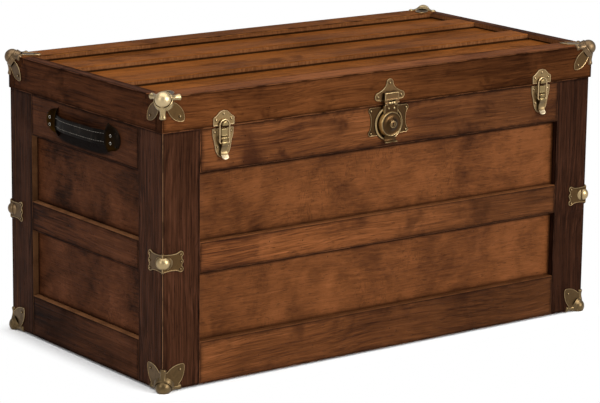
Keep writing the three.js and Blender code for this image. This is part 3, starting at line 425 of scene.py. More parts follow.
class Nodes:
    """Short names for making node materials."""

    def __init__(self, name):
        self.material = bpy.data.materials.new(name)
        self.material.use_nodes = True
        self.tree = self.material.node_tree
        self.shader = self.tree.nodes["Principled BSDF"]
        self.coordinates = self.node("TexCoord").outputs["Object"]

    def node(self, kind, **inputs):
        node = self.tree.nodes.new("ShaderNode" + kind)
        for name, value in inputs.items():
            self.plug(value, node.inputs[name.replace("_", " ")])
        return node

    def plug(self, value, socket):
        value = value.socket if isinstance(value, Value) else value
        if isinstance(value, bpy.types.NodeSocket):
            self.tree.links.new(value, socket)
        elif isinstance(value, tuple) and socket.type == "RGBA" and len(value) == 3:
            socket.default_value = (*value, 1)
        else:
            socket.default_value = value

    def finished(self, **inputs):
        """Plugs the shader's inputs and gives the material."""
        for name, value in inputs.items():
            self.plug(value, self.shader.inputs[name.replace("_", " ")])
        return self.material

    def math(self, operation, *values, clamp=False):
        node = self.node("Math")
        node.operation = operation
        node.use_clamp = clamp
        for value, socket in zip(values, node.inputs):
            self.plug(value, socket)
        return Value(self, node.outputs[0])

    def least(self, a, b):
        return self.math("MINIMUM", a, b)

    def most(self, a, b):
        return self.math("MAXIMUM", a, b)

    def vector(self, operation, a, b):
        node = self.node("VectorMath")
        node.operation = operation
        for value, socket in zip((a, b), node.inputs):
            self.plug(value, socket)
        return Value(self, node.outputs[0])

    def split(self, vector):
        return [Value(self, output) for output in self.node("SeparateXYZ", Vector=vector).outputs]

    def combine(self, x, y, z):
        return Value(self, self.node("CombineXYZ", X=x, Y=y, Z=z).outputs[0])

    def noise(self, vector, scale=1.0, detail=3.0, rough=0.5, distortion=0.0):
        node = self.node("TexNoise", Vector=vector, Scale=scale, Detail=detail, Roughness=rough, Distortion=distortion)
        return Value(self, node.outputs["Fac"])

    def voronoi(self, vector, scale):
        return Value(self, self.node("TexVoronoi", Vector=vector, Scale=scale).outputs["Distance"])

    def ramp(self, value, stops):
        node = self.node("ValToRGB")
        elements = node.color_ramp.elements
        while len(elements) < len(stops):
            elements.new(0.5)
        for element, (place, colour) in zip(elements, stops):
            element.position = place
            element.color = (*colour, 1)
        self.plug(value, node.inputs[0])
        return Value(self, node.outputs["Color"])

    def span(self, value, low, high, to_low=0.0, to_high=1.0):
        node = self.node("MapRange")
        node.interpolation_type = "SMOOTHSTEP"
        names = ("Value", "From Min", "From Max", "To Min", "To Max")
        for name, setting in zip(names, (value, low, high, to_low, to_high)):
            self.plug(setting, node.inputs[name])
        return Value(self, node.outputs["Result"])

    def fall(self, value, low, high):
        return self.span(value, low, high, 1.0, 0.0)

    def mix(self, factor, a, b):
        node = self.node("Mix")
        node.data_type = "RGBA"
        colours = [s for s in node.inputs if s.type == "RGBA"]
        self.plug(factor, node.inputs["Factor"])
        self.plug(a, colours[0])
        self.plug(b, colours[1])
        return Value(self, [s for s in node.outputs if s.type == "RGBA"][0])

    def occlusion(self, distance):
        node = self.node("AmbientOcclusion", Distance=distance)
        node.samples = 8
        node.only_local = True
        return Value(self, node.outputs["AO"])

    def bump(self, height, strength, distance):
        return self.node("Bump", Strength=strength, Distance=distance, Height=height).outputs["Normal"]


def shade(colour, amount):
    return tuple(c * amount for c in colour)


def tinted(colour, *amounts):
    return tuple(c * amount for c, amount in zip(colour, amounts))


# the noises of each kind of board: stretch along and across the grain (or scale), detail, roughness, distortion, weight
GRAIN = {
    "panel": {"cloud": (None, 15.0, 4.0, 0.55, 0.5, 0.95), "medium": (34.0, 120.0, 4.0, 0.7, 0.8, 0.6),
              "fine": (16.0, 430.0, 2.0, 0.6, 0.0, 0.5), "broad": (7.0, 3.0, 2.0, 0.5, 0.0, 0.8)},
    "stile": {"cloud": (2.0, 60.0, 3.0, 0.6, 0.0, 1.3), "medium": (3.5, 250.0, 2.0, 0.65, 0.0, 1.9),
              "fine": (16.0, 430.0, 2.0, 0.6, 0.0, 1.9), "broad": (2.2, 8.0, 2.0, 0.5, 0.0, 1.0)},
    "rail": {"cloud": (3.2, 34.0, 3.0, 0.6, 0.3, 0.9), "medium": (5.0, 240.0, 2.0, 0.65, 0.0, 0.85),
             "fine": (16.0, 430.0, 2.0, 0.6, 0.0, 0.95), "broad": (4.5, 6.0, 2.0, 0.5, 0.0, 1.25)},
}
END_GRAIN = (0.0135, 0.0045, 0.0021)
CORNER_WEAR_AND_HIGHLIGHT = (0.22, 0.115, 0.055)
SAWN_AND_LIT = [(0.25, (0.080, 0.028, 0.0085)), (0.5, (0.128, 0.048, 0.0165)), (0.75, (0.205, 0.085, 0.032))]


def wood(name, axis, base, dark, box, seed, kind="rail", hidden_edge=0.0, edge_dark=0.45, edge_dark_width=0.012, blotch=0.5,
         wear=0.5, contrast=1.0, gloss=0.05, seam=0.5, bar=None, arris=None, channels=None, painted_shadow=None, painted_light_falloff=None,
         front=None, lit=None):
    """Stained wood, rubbed by use, with its grain along one axis, darker at the board's own ends and joints.

    painted_light_falloff is the strength of the colour at the board's low and high end, painted light falling off along
    it; front the same on its front face alone, as painted shade.
    lit is the way that a side faces which is painted paler as light falling on it, as axis and sign, and its colour.
    bar is the height of the rail that crosses a panel, arris the case's upright corner, painted_shadow the middle and
    half size of a painted shadow.
    """
    n = Nodes(name)
    low, high = box
    parts = n.split(n.coordinates)
    order = {"x": (0, 1, 2), "y": (1, 0, 2), "z": (2, 0, 1)}[axis]
    along, a, b = (parts[i] + seed * step for i, step in zip(order, (1.713, 0.917, 0.531)))
    sway = (n.noise(n.combine(along * 2.0, a * 5.0, b * 5.0), detail=2.0) - 0.5) * 0.05
    bent_a, bent_b = a + sway, b + sway
    place = n.combine(along, a, b)

    def stretched(x, y):
        return n.combine(along * x, bent_a * y, bent_b * y)

    def unbent(x, y):
        return n.combine(along * x, a * y, b * y)

    def darker(mask, depth):
        return n.mix(mask, colour, shade(dark, depth))

    tone, layers = 0.5, {}
    for key, (x, y, detail, rough, distortion, weight) in GRAIN[kind].items():
        where, scale = (place, y) if x is None else (stretched(x, y), 1.0)
        layers[key] = n.noise(where, scale, detail, rough, distortion)
        tone = (layers[key] - 0.5) * (weight * contrast) + tone
    fine, medium, broad = layers["fine"], layers["medium"], layers["broad"]
    colour = n.ramp(tone, [
        (0.0, shade(dark, 0.8)), (0.3, tuple((p + q) / 2 for p, q in zip(base, dark))), (0.52, base),
        (0.78, tinted(base, 1.42, 1.45, 1.5)), (1.0, tinted(base, 1.95, 2.05, 2.2)),
    ])
    # dark lines of the grain
    lines = n.span(n.noise(stretched(2.2, 210.0), detail=2.0, rough=0.6), 0.57, 0.68)
    colour = darker(lines * (0.10 if kind == "panel" else 0.26), 0.7)
    if kind == "panel":
        # the veneer's figure: short curled darker lines
        curl = abs(n.noise(unbent(46.0, 17.0), detail=3.0, rough=0.6, distortion=1.3) - 0.5)
        curl = n.fall(curl, 0.0, 0.022) * n.span(n.noise(place, scale=9.0), 0.45, 0.62)
        colour = darker(curl * 0.42, 0.8)
    # smudges of darker stain, across the grain as well as along it
    smudge = n.span(n.noise(unbent(9.0, 11.0), detail=4.0, rough=0.62, distortion=0.4), 0.52, 0.68)
    colour = darker(smudge * blotch, 0.85)
    # rubbed paler places
    elsewhere = n.vector("ADD", place, (7.3, 1.9, 4.1))
    pale = n.span(n.noise(elsewhere, scale=8.0, detail=4.0, rough=0.6, distortion=0.4), 0.54, 0.72)
    colour = n.mix(pale * 0.32, colour, tinted(base, 1.9, 2.0, 2.2))
    # pores, specks and small dents
    pores = n.span(n.noise(stretched(60.0, 330.0), detail=1.0), 0.62, 0.72)
    colour = darker(pores * 0.32, 0.4)
    specks = n.fall(n.voronoi(place, 46.0), 0.0, 0.11) * n.span(n.noise(place, 13.0, 0.0), 0.56, 0.62)
    colour = darker(specks * 0.8, 0.25)
    # distance from the nearest edge of the board
    gaps = [n.least(parts[i] - low[i], high[i] - parts[i]) for i in range(3)]
    edge = n.most(n.least(gaps[0], gaps[1]), n.least(n.most(gaps[0], gaps[1]), gaps[2])) - hidden_edge
    if bar:
        edge = n.least(edge, n.most(bar[0] - parts[2], parts[2] - bar[1]))
    ragged = n.noise(place, scale=42.0, detail=5.0, rough=0.65) - 0.5
    # a darker band along the board's edges
    edge_darkening = n.fall(ragged * (edge_dark_width * 1.6) + edge, 0.0, edge_dark_width)
    colour = darker(edge_darkening * edge_dark, 0.55)
    joint = n.fall(ragged * 0.0025 + edge, 0.0022, 0.0048)
    colour = darker(joint * seam, 0.16)
    # the very edge: rubbed through to lighter wood in places, and a painted highlight along the arris
    patchy = n.span(n.noise(place, scale=30.0, detail=4.0), 0.40, 0.58)
    rubbed = n.fall(edge, 0.0007, 0.0016) * patchy
    colour = n.mix(rubbed * wear, colour, tinted(base, 2.6, 3.0, 3.8))
    if arris:
        # the case's upright corner: rubbed pale by handling, and a painted highlight along it
        off = n.most(abs(parts[0] - arris[0]), abs(parts[1] - arris[1]))
        corner_wear_and_highlight = n.fall(off, 0.0006, 0.0015) * n.span(patchy, 0.0, 0.6, 0.35, 0.8)
        colour = n.mix(corner_wear_and_highlight, colour, CORNER_WEAR_AND_HIGHLIGHT)
    facing = n.split(n.node("NewGeometry").outputs["True Normal"])
    strength = None
    # painted light: the colour grows stronger or weaker along the board as the light falls off
    if painted_light_falloff:
        strength = n.span(parts[order[0]], low[order[0]], high[order[0]], *painted_light_falloff)
    # painted shade on the front face alone, stronger or weaker along the board
    if front:
        ahead = n.fall(facing[1], -0.8, -0.5)
        strength = ahead * (n.span(parts[0], low[0], high[0], *front) - 1.0) + 1.0
    if strength:
        colour = n.vector("MULTIPLY", colour, n.combine(strength, strength, strength))
    # end grain drinks more stain
    colour = n.mix(n.span(abs(facing[order[0]]), 0.6, 0.8) * 0.85, colour, END_GRAIN)
    if kind == "panel":
        # painted shadow: a dark line in the corner under the rail above
        below = n.fall((high[2] - hidden_edge) - parts[2], 0.004, 0.009)
        if bar:
            under = bar[0] - parts[2]
            below = n.most(below, n.fall(under, 0.004, 0.009) * n.math("GREATER_THAN", under, -0.004))
        colour = darker(below * 0.8, 0.3)
    # painted light: the sides that face the lamps are paler, in patches
    if lit:
        toward = n.span(facing[lit[0]] * lit[1], 0.5, 0.8)
        pale_part = n.span(n.noise(place, scale=26.0, detail=4.0, rough=0.6), 0.35, 0.62, 0.55, 0.95)
        colour = n.mix(toward * pale_part, colour, lit[2])
    if channels:
        # the sides of the lid's channels: sawn across, and painted paler as light falling on them, over a painted
        # shadow line in the corner
        floor_z, reach, walls = channels
        upright = n.fall(abs(facing[2]), 0.5, 0.7)
        inner = (n.math("LESS_THAN", abs(parts[0]), reach[0])
                 * n.math("LESS_THAN", abs(parts[1] - SHIFT * MM), reach[1]))
        sides = upright * inner * n.math("GREATER_THAN", parts[2], floor_z)
        ticks = n.noise(n.vector("MULTIPLY", place, (330.0, 330.0, 60.0)), detail=3.0, rough=0.7)
        colour = n.mix(sides * 0.9, colour, n.ramp((broad - 0.5) * 0.8 + ticks, SAWN_AND_LIT))
        foot = sides * n.fall(parts[2], floor_z + 0.002, floor_z + 0.0042)
        colour = darker(foot * 0.9, 0.2)
        # painted shade on the channel floor just in front of each wall
        on_floor = n.math("LESS_THAN", parts[2], floor_z + 0.0005) * (1.0 - upright)
        for wall in walls:
            before = wall - parts[1]
            wall_shade = n.fall(before, 0.003, 0.009) * n.math("GREATER_THAN", before, -0.001)
            colour = darker(wall_shade * on_floor * 0.85, 0.3)
    if painted_shadow:
        # painted shadow of the handle on the wood behind and below it
        off = [n.math("POWER", (parts[1 + i] - painted_shadow[i]) * (1 / painted_shadow[2 + i]), 4.0) for i in (0, 1)]
        colour = darker(n.span(n.math("POWER", off[0] + off[1], 0.25), 0.75, 1.05, 0.97, 0.0), 0.12)
    dents = n.noise(place, scale=24.0, detail=2.0)
    height = medium * 0.8 + fine * 0.6 + specks * -1.4 + pores * -0.6 + lines * -0.6 + dents * 1.6
    return n.finished(
        Base_Color=colour, Roughness=fine * 0.25 + 0.37 + smudge * 0.06 + edge_darkening * 0.14,
        Normal=n.bump(height, 0.45, 0.0014), Specular_IOR_Level=gloss, Specular_Tint=(1.0, 0.62, 0.38))


def aged_metal(name, bright, tarnish, pit, roughness, spread, hollows=1.25, deep=0.006, mottle=1.5,
               tint=(1.0, 1.0, 1.0)):
    """Metal with tarnish in its hollows and rubbed high places."""
    n = Nodes(name)
    cloud = n.noise(n.coordinates, scale=70.0, detail=5.0, rough=0.6, distortion=0.6)
    fine = n.noise(n.coordinates, scale=620.0, detail=3.0, rough=0.6)
    age = (1.0 - n.occlusion(deep)) * hollows + (cloud - 0.42) * mottle + (fine - 0.5) * 0.35
    age = n.math("ADD", age, spread - 0.35, clamp=True)
    half = tuple((p + q) / 2 for p, q in zip(bright, tarnish))
    return n.finished(
        Base_Color=n.ramp(age, [(0.0, bright), (0.45, half), (0.75, tarnish), (1.0, pit)]), Metallic=1.0,
        Roughness=age * 0.3 + roughness, Specular_Tint=tint, Normal=n.bump(cloud * 0.7 + fine * 0.3, 0.18, 0.0006))


def leather_material():
    n = Nodes("black_leather")
    grain = n.voronoi(n.coordinates, 900.0)
    coarse = n.noise(n.coordinates, scale=120.0, detail=4.0, rough=0.6)
    crease = n.noise(n.vector("MULTIPLY", n.coordinates, (60.0, 60.0, 14.0)), detail=4.0, rough=0.6, distortion=1.0)
    crack = n.span(crease, 0.52, 0.6)
    colour = n.mix(n.span(coarse, 0.35, 0.7), (0.0028, 0.0021, 0.0016), (0.0064, 0.0046, 0.0034))
    return n.finished(
        Base_Color=n.mix(crack * 0.5, colour, (0.020, 0.0145, 0.011)), Roughness=coarse * 0.3 + 0.34,
        Specular_IOR_Level=0.028, Specular_Tint=(1.0, 0.84, 0.7),
        Normal=n.bump(grain * 0.5 + crack * 0.6, 0.35, 0.0007))


def thread_material():
    n = Nodes("waxed_thread")
    wear = n.noise(n.coordinates, scale=260.0, detail=3.0)
    return n.finished(
        Base_Color=n.mix(n.span(wear, 0.35, 0.65), (0.040, 0.032, 0.026), (0.15, 0.13, 0.105)),
        Roughness=wear * 0.2 + 0.6, Normal=n.bump(wear, 0.3, 0.0004))


# each metal: bright, tarnished and pitted colour, roughness, how far the tarnish has spread
BRASS = aged_metal("aged_brass", (0.250, 0.165, 0.074), (0.098, 0.058, 0.024), (0.018, 0.010, 0.005), 0.28, 0.40)
RUBBED = aged_metal("rubbed_brass", (0.52, 0.375, 0.20), (0.21, 0.135, 0.064), (0.04, 0.025, 0.012), 0.26, 0.36)
SATIN = aged_metal("satin_brass", (0.235, 0.168, 0.076), (0.105, 0.070, 0.029), (0.03, 0.018, 0.008), 0.32, 0.32, 0.8)
# painted light: a brighter brass for the drum's side, which faces away from the strong lamps
DRUM_SIDE_LIGHT = aged_metal("drum_side_light_brass", (0.80, 0.56, 0.24), (0.46, 0.31, 0.125), (0.08, 0.05, 0.02), 0.3, 0.15, 0.2)
BALL = aged_metal("ball_brass", (0.53, 0.405, 0.225), (0.20, 0.14, 0.066), (0.05, 0.033, 0.016), 0.40, 0.2, 3.0,
                  0.010, 0.6)
COLLAR = aged_metal("collar_brass", (0.40, 0.295, 0.15), (0.145, 0.096, 0.042), (0.03, 0.019, 0.008), 0.26, 0.34, 2.6,
                    0.010, 1.0)
# painted shade: a darker copy of the ball and collar brass
SHADED = aged_metal("shaded_corner_brass", (0.175, 0.115, 0.062), (0.075, 0.045, 0.022), (0.02, 0.012, 0.006), 0.36,
                    0.42, 1.6)
# the lever's tip: rubbed bright, and a painted highlight on its outward curl
TIP_WEAR_AND_HIGHLIGHT = aged_metal("lever_tip_brass", (0.62, 0.49, 0.31), (0.34, 0.25, 0.14), (0.06, 0.040, 0.020), 0.34, 0.2, 1.0)
LEVER = aged_metal("lever_brass", (0.215, 0.150, 0.073), (0.10, 0.064, 0.029), (0.024, 0.014, 0.007), 0.32, 0.36)
CORNER = aged_metal("corner_brass", (0.092, 0.052, 0.020), (0.042, 0.022, 0.0085), (0.012, 0.0065, 0.003), 0.34, 0.42)
CORNER_RIM = aged_metal("corner_rim_brass", (0.34, 0.235, 0.115), (0.14, 0.088, 0.039), (0.03, 0.018, 0.008), 0.3, 0.36)
CLAMP_BALL = aged_metal("clamp_ball_brass", (0.40, 0.29, 0.148), (0.13, 0.085, 0.038), (0.035, 0.022, 0.011), 0.38,
                        0.24, 3.0, 0.010, 0.6)
FOOT_FLAT = aged_metal("foot_brass", (0.100, 0.061, 0.026), (0.043, 0.024, 0.0095), (0.012, 0.007, 0.0035), 0.32, 0.44)
# painted shade: a darker copy of the ball brass for the feet's balls and collars, which mirror the shadowed floor
FOOT_BALL_SHADED = aged_metal("foot_ball_shaded_brass", (0.135, 0.090, 0.042), (0.062, 0.039, 0.017), (0.018, 0.011, 0.005), 0.34,
                       0.38)
LID_PLATE = aged_metal("lid_plate_brass", (0.140, 0.080, 0.034), (0.062, 0.034, 0.014), (0.015, 0.008, 0.004), 0.3, 0.4)
LOCK = aged_metal("lock_brass", (0.060, 0.031, 0.0115), (0.028, 0.0143, 0.0054), (0.010, 0.0055, 0.0025), 0.3, 0.42)
LOCK_RIM = aged_metal("lock_rim_brass", (0.42, 0.30, 0.145), (0.15, 0.098, 0.043), (0.024, 0.015, 0.007), 0.27, 0.4)
DIMPLE = aged_metal("dark_dimple", (0.026, 0.015, 0.008), (0.015, 0.009, 0.005), (0.008, 0.005, 0.003), 0.5, 0.5)
BRASS_DARK = aged_metal("dark_brass", (0.15, 0.10, 0.05), (0.065, 0.042, 0.02), (0.02, 0.013, 0.007), 0.34, 0.5)
STEEL_NAIL = aged_metal("nail_head", (0.42, 0.39, 0.34), (0.20, 0.175, 0.145), (0.06, 0.05, 0.04), 0.24, 0.3)
BLACK_METAL = aged_metal("blackened_iron", (0.0100, 0.0068, 0.0046), (0.0036, 0.0025, 0.0018), (0.0022, 0.0016, 0.0012),
                         0.36, 0.4, tint=(0.62, 0.52, 0.43))
KEYHOLE = aged_metal("keyhole_dark", (0.012, 0.009, 0.007), (0.009, 0.007, 0.006), (0.006, 0.005, 0.004), 0.6, 0.5)
# each piece of hardware: its flats, its worn edges, the dimples round its nails, its domes, its collars
LATCH_METAL = (BRASS, RUBBED, DIMPLE, SATIN)
LEVER_METAL = (LEVER, TIP_WEAR_AND_HIGHLIGHT, DIMPLE, SATIN)
LID_METAL = (CORNER, CORNER_RIM, DIMPLE, BALL, COLLAR)
SHADED_METAL = (CORNER, CORNER_RIM, DIMPLE, SHADED, SHADED)
FOOT_METAL = (FOOT_FLAT, CORNER_RIM, DIMPLE, FOOT_BALL_SHADED, FOOT_BALL_SHADED)
CLAMP_METAL = (CORNER, CORNER_RIM, DIMPLE, CLAMP_BALL)
PLATE_METAL = (LID_PLATE, LOCK_RIM, DIMPLE, SATIN)
LOCK_METAL = (LOCK, LOCK_RIM, DIMPLE, DRUM_SIDE_LIGHT)
HINGE_METAL = (BRASS_DARK, BRASS, DIMPLE, BRASS_DARK)
NAILS = (BLACK_METAL, STEEL_NAIL, DIMPLE)

# ---------------------------------------------------------------- wooden boards: the CAD nodes themselves

WARM, WARM_DARK = (0.082, 0.0268, 0.0079), (0.021, 0.0056, 0.0022)
TOP, TOP_DARK = (0.090, 0.0280, 0.0052), (0.024, 0.0068, 0.0021)
BROWN, BROWN_DARK = (0.0295, 0.0104, 0.0049), (0.0075, 0.0025, 0.0014)
END, END_DARK = (0.026, 0.0084, 0.0032), (0.0080, 0.0026, 0.0014)

# colours for sides that face the light: painted light on the ledges and on the back posts' returns
LEDGE_LIGHT = (2, 1, (0.20, 0.086, 0.035))
FRONT_LEDGE_LIGHT = (2, 1, (0.115, 0.042, 0.0135))
LOW_LEDGE_LIGHT = (2, 1, (0.080, 0.029, 0.0095))
POST_RETURN_LIGHT = (1, -1, (0.15, 0.066, 0.027))
HANDLE_SHADOW = (STRAP_Y * MM, 0.444, 0.110, 0.0235)
RAIL = dict(blotch=0.55, edge_dark=0.5)
STILE = dict(kind="stile", edge_dark=0.4, edge_dark_width=0.008, blotch=0.3, contrast=0.75, gloss=0.02)
PANEL = dict(kind="panel", hidden_edge=0.009, edge_dark=0.35, edge_dark_width=0.012, blotch=0.13, wear=0.0, seam=0.4)
CROSSED = dict(PANEL, bar=(0.2225, 0.2825))
END_BOARD = dict(contrast=1.2, blotch=0.45, gloss=0.02, seam=0.7)
CHANNELS = (0.5583, (0.52, 0.23), (0.2227, 0.0727, -0.1023))
LID_BOARD = dict(blotch=0.5, edge_dark=0.45, gloss=0.008, contrast=0.7, channels=CHANNELS)
LID_SIDE = dict(LID_BOARD, contrast=0.85, blotch=0.6)
# each board: the way of its grain, the strength of its colour and of its darks, what else sets it apart
boards = {
    # the front top rail is darker, painted shade under the lid's overhang
    "front_top_rail": ("x", WARM, 0.80, WARM_DARK, 1, dict(blotch=0.85, edge_dark=0.7, painted_light_falloff=(1.35, 0.78))),
    "front_middle_rail": ("x", WARM, 1.04, WARM_DARK, 1, dict(RAIL, painted_light_falloff=(1.45, 0.62), lit=FRONT_LEDGE_LIGHT)),
    "front_bottom_rail": ("x", WARM, 0.88, WARM_DARK, 1, dict(RAIL, painted_light_falloff=(1.15, 0.58), lit=LOW_LEDGE_LIGHT)),
    "front_panel": ("x", WARM, 1.10, WARM_DARK, 1, CROSSED),
    "back_top_rail": ("x", WARM, 0.9, WARM_DARK, 1, dict(blotch=0.5)),
    "back_bottom_rail": ("x", WARM, 0.9, WARM_DARK, 1, dict(blotch=0.5)),
    "back_panel": ("x", WARM, 0.95, WARM_DARK, 1, PANEL),
    "bottom_panel": ("x", WARM, 0.8, WARM_DARK, 1, dict(kind="panel", blotch=0.3, wear=0.0)),
    "lid_front_rail": ("x", WARM, 1.62, WARM_DARK, 1.35, dict(LID_BOARD, blotch=0.78, front=(0.66, 0.34))),
    "lid_back_rail": ("x", TOP, 1.3, TOP_DARK, 1, LID_BOARD),
    "lid_left_board": ("y", END, 1.95, END_DARK, 1.2, LID_SIDE),
    "lid_right_board": ("y", END, 1.95, END_DARK, 1.2, LID_SIDE),
    "lid_top_panel": ("x", TOP, 1.4, TOP_DARK, 1, LID_BOARD),
}
for end, sx in ENDS:
    for side, y, tone in (("front", FRONT, 1.0 if sx < 0 else 0.62), ("back", BACK, 0.9)):
        post = dict(STILE, arris=(sx * HALF_CASE * MM, y * MM), lit=POST_RETURN_LIGHT if side == "back" else None)
        boards[f"{side}_{end}_post"] = ("z", BROWN, tone * 1.06, BROWN_DARK, 1, post)
    boards[f"{end}_top_rail"] = ("y", END, 1.35, END_DARK, 1, dict(END_BOARD, painted_shadow=HANDLE_SHADOW))
    boards[f"{end}_middle_rail"] = ("y", END, 2.1, END_DARK, 1.2, dict(END_BOARD, painted_light_falloff=(0.75, 1.1), lit=LEDGE_LIGHT))
    boards[f"{end}_bottom_rail"] = ("y", END, 1.4, END_DARK, 1.1, dict(END_BOARD, painted_light_falloff=(1.05, 0.75), lit=LEDGE_LIGHT))
    boards[f"{end}_panel"] = ("y", END, 1.95, END_DARK, 1.1, dict(CROSSED, contrast=1.5, gloss=0.02))
for number, (name, (axis, base, tone, dark, dark_tone, options)) in enumerate(boards.items()):
    seed = number * 3.37 + 1.0
    material = wood("wood_" + name, axis, shade(base, tone), shade(dark, dark_tone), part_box(name), seed, **options)
    dressed(nodes[name], material, 0.00002, 0.0009, 50)

# ---------------------------------------------------------------- metal corners


def petal_outline(root):
    """One of a corner's three leaves, in the octant's plane; root is how far along the side it starts."""
    reach = 49.0
    side = [(0.2, 0.0), (0.3, 0.34), (0.46, 0.7), (0.66, 0.93), (0.86, 1.0)]
    points = [(s * reach, (root + (1 - root) * r) * reach, 0) for s, r in side]
    tip = (0.97 * reach, 0.97 * reach, 0)
    edge = [(v.x, v.y) for v in smooth_path(points + [tip] + [(y, x, 0) for x, y, _ in reversed(points)], 5)]
    return [(4.0, 4.0), (4.0, root * reach)] + edge + [(root * reach, 4.0)]


# a corner's limb: distance from the corner, radius
LIMB = [(8, 6.0), (13, 6.8), (16, 7.2), (18, 7.4), (20, 7.3), (22, 6.9), (24, 6.4), (27, 5.8), (30, 5.4), (33, 5.4),
        (36, 5.9), (38.5, 6.6), (40.2, 6.5), (41.6, 5.4), (42.5, 3.6), (43.0, 1.2)]
PLATE_LIFT = 0.25


def corner_mesh(root, foot):
    """A ball in a collar with three limbs along the edges and three leaves between them."""
    bm = bmesh.new()
    at = facing_out((5.5, 5.5, 5.5), (-1, -1, -1))
    revolve(bm, arc(0, 0, 15.5, -25, 90, 22), 56, at)
    painted(bm, 0, 3)
    start = len(bm.faces)
    revolve(bm, arc(16.6, -1.4, 1.5, -70, 180, 18, 1.9), 64, at, caps=False)
    revolve(bm, [(19.0, -10.0), (18.6, -7.0), (18.3, -4.4), (17.7, -2.4)], 64, at, caps=False)
    for unit in (X, Y, Z):
        base = (X + Y + Z - unit) * 3.4
        up = Vector((0.2, 0.8, 0.5)) if unit is X else Vector((0.3, 0.5, 0.8))
        tube(bm, [base + unit * t for t, _ in LIMB], [r for _, r in LIMB], 24, up)
    painted(bm, start, 4)
    for u, v, w in ((X, Y, Z), (Y, Z, X), (Z, X, Y)):
        part = bmesh.new()
        pressed(part, petal_outline(root), THIN_RIM, rim=WORN)
        nails(part, [(38.6, 38.6)], 1.15, 2.3, 1.6)
        merge(bm, part, axes(u, v, -w, -PLATE_LIFT * w))
    if foot:
        # flat underneath, just above the floor
        geometry = list(bm.verts) + list(bm.edges) + list(bm.faces)
        cut = bmesh.ops.bisect_plane(bm, geom=geometry, plane_co=(0, 0, -3.98), plane_no=-Z, clear_outer=True)
        edges = [e for e in cut["geom_cut"] if isinstance(e, bmesh.types.BMEdge)]
        bmesh.ops.holes_fill(bm, edges=edges, sides=0)
    return bm


for spot, sx, sy, y in SPOTS:
    place = corner_place(sx, sy, sx * HALF_LID, LID_FRONT if sy < 0 else BACK, LID_TOP, -1)
    # the back-left and front-right lid corners take the darker copy, painted shade
    metal = SHADED_METAL if spot in ("back_left", "front_right") else LID_METAL
    finish_mesh(f"lid_corner_metal_{spot}", corner_mesh(0.5, False), metal, "lid", f"lid_corner_{spot}", place)
    place = corner_place(sx, sy, sx * HALF_CASE, y, WOOD_BOTTOM)
    finish_mesh(f"foot_corner_metal_{spot}", corner_mesh(0.74, True), FOOT_METAL, "chest", f"foot_corner_{spot}", place)

# ---------------------------------------------------------------- clamps on the upright edges


def clamp_outline():
    """A clamp's plate on one face, with a waist and three lobes."""
    r, x, s, flank = 6.0, 40.0, 14.5, (29.0, 16.6)
    low_flank = (flank[0], -flank[1])
    out = [(-2.0, -18.0)] + bend((-2.0, -18.0), (14.0, -15.2), low_flank, 8) + [low_flank]
    out += bend(low_flank, (33.5, -17.4), (36.2, -19.6), 6)
    out += arc(x, -s, r, -128, 62) + arc(x + 0.6, 0, 5.4, -62, 62, 10) + arc(x, s, r, -62, 128)
    out += bend((36.2, 19.6), (33.5, 17.4), flank, 6) + [flank]
    return out + bend(flank, (14.0, 15.2), (-2.0, 18.0), 8) + [(-2.0, 18.0)]


def clamp_mesh():
    """A ball in a ring on the case's edge, with a neck above and below and a plate on both faces."""
    bm = bmesh.new()
    at = facing_out((4.2, 4.2, 0), (-1, -1, 0))
    revolve(bm, arc(0, 0, 13.4, -25, 90, 24), 48, at)
    painted(bm, 0, 3)
    revolve(bm, arc(14.3, -0.6, 1.2, -90, 180, 14, 1.4), 56, at, caps=False, bright=(8, 9, 10))
    start = len(bm.faces)
    revolve(bm, [(17.0, -13.5), (16.7, -10.0), (16.3, -7.0), (15.9, -4.0), (15.4, -1.6)], 56, at, caps=False)
    painted(bm, start, 3)
    for sz in (-1, 1):
        points = [Vector((0.4, 0.4, sz * z)) for z in (9, 12, 14.5, 16.5, 18.2, 19.6, 20.4)]
        tube(bm, points, [3.4, 2.9, 2.3, 2.6, 2.6, 1.9, 0.7], up=X)
    for along, out in ((X, Y), (Y, X)):
        part = bmesh.new()
        pressed(part, clamp_outline(), RIM, rim=WORN)
        nails(part, [(39.6, 14.3), (40.8, 0), (39.6, -14.3)], 1.25, 1.9, 1.5)
        merge(bm, part, axes(along, Z, -out, -PLATE_LIFT * out))
    return bm


for spot, sx, sy, y in SPOTS:
    place = corner_place(sx, sy, sx * HALF_CASE, y, CLAMP_Z)
    # the back-left clamp takes the darker copy, painted shade
    metal = SHADED_METAL[:4] if spot == "back_left" else CLAMP_METAL
    finish_mesh(f"edge_clamp_metal_{spot}", clamp_mesh(), metal, "chest", f"edge_clamp_{spot}", place)

# ---------------------------------------------------------------- draw latches

keeper_edge = filleted([
    (-1, 2.0, 0), (24.0, 2.0, 1.4), (24.2, 17.6, 4.5), (17.0, 21.6, 9.0), (8.6, 29.6, 7.0), (0, 31.4, 9.0), (-1, 31, 0),
])
keeper_edge = [p for p in keeper_edge if p[0] > 0.2 and p[1] > 2.05]
KEEPER = mirrored_outline([(0.0, 2.0), (22.6, 2.0)] + keeper_edge + [(0.0, 31.2)])
base_edge = smooth_path([
    (4.5, -59.4, 0), (9.6, -56.4, 0), (14.2, -50.8, 0), (17.0, -44.0, 0), (18.6, -36.0, 0), (20.6, -27.0, 0),
    (23.2, -18.0, 0), (24.0, -9.0, 0), (24.0, -3.6, 0),
], 5)
BASE_PLATE = mirrored_outline([(0.0, -60.0)] + [(p.x, p.y) for p in base_edge] + [(22.8, -2.6), (0.0, -2.6)])
LID_PROUD = 3.3
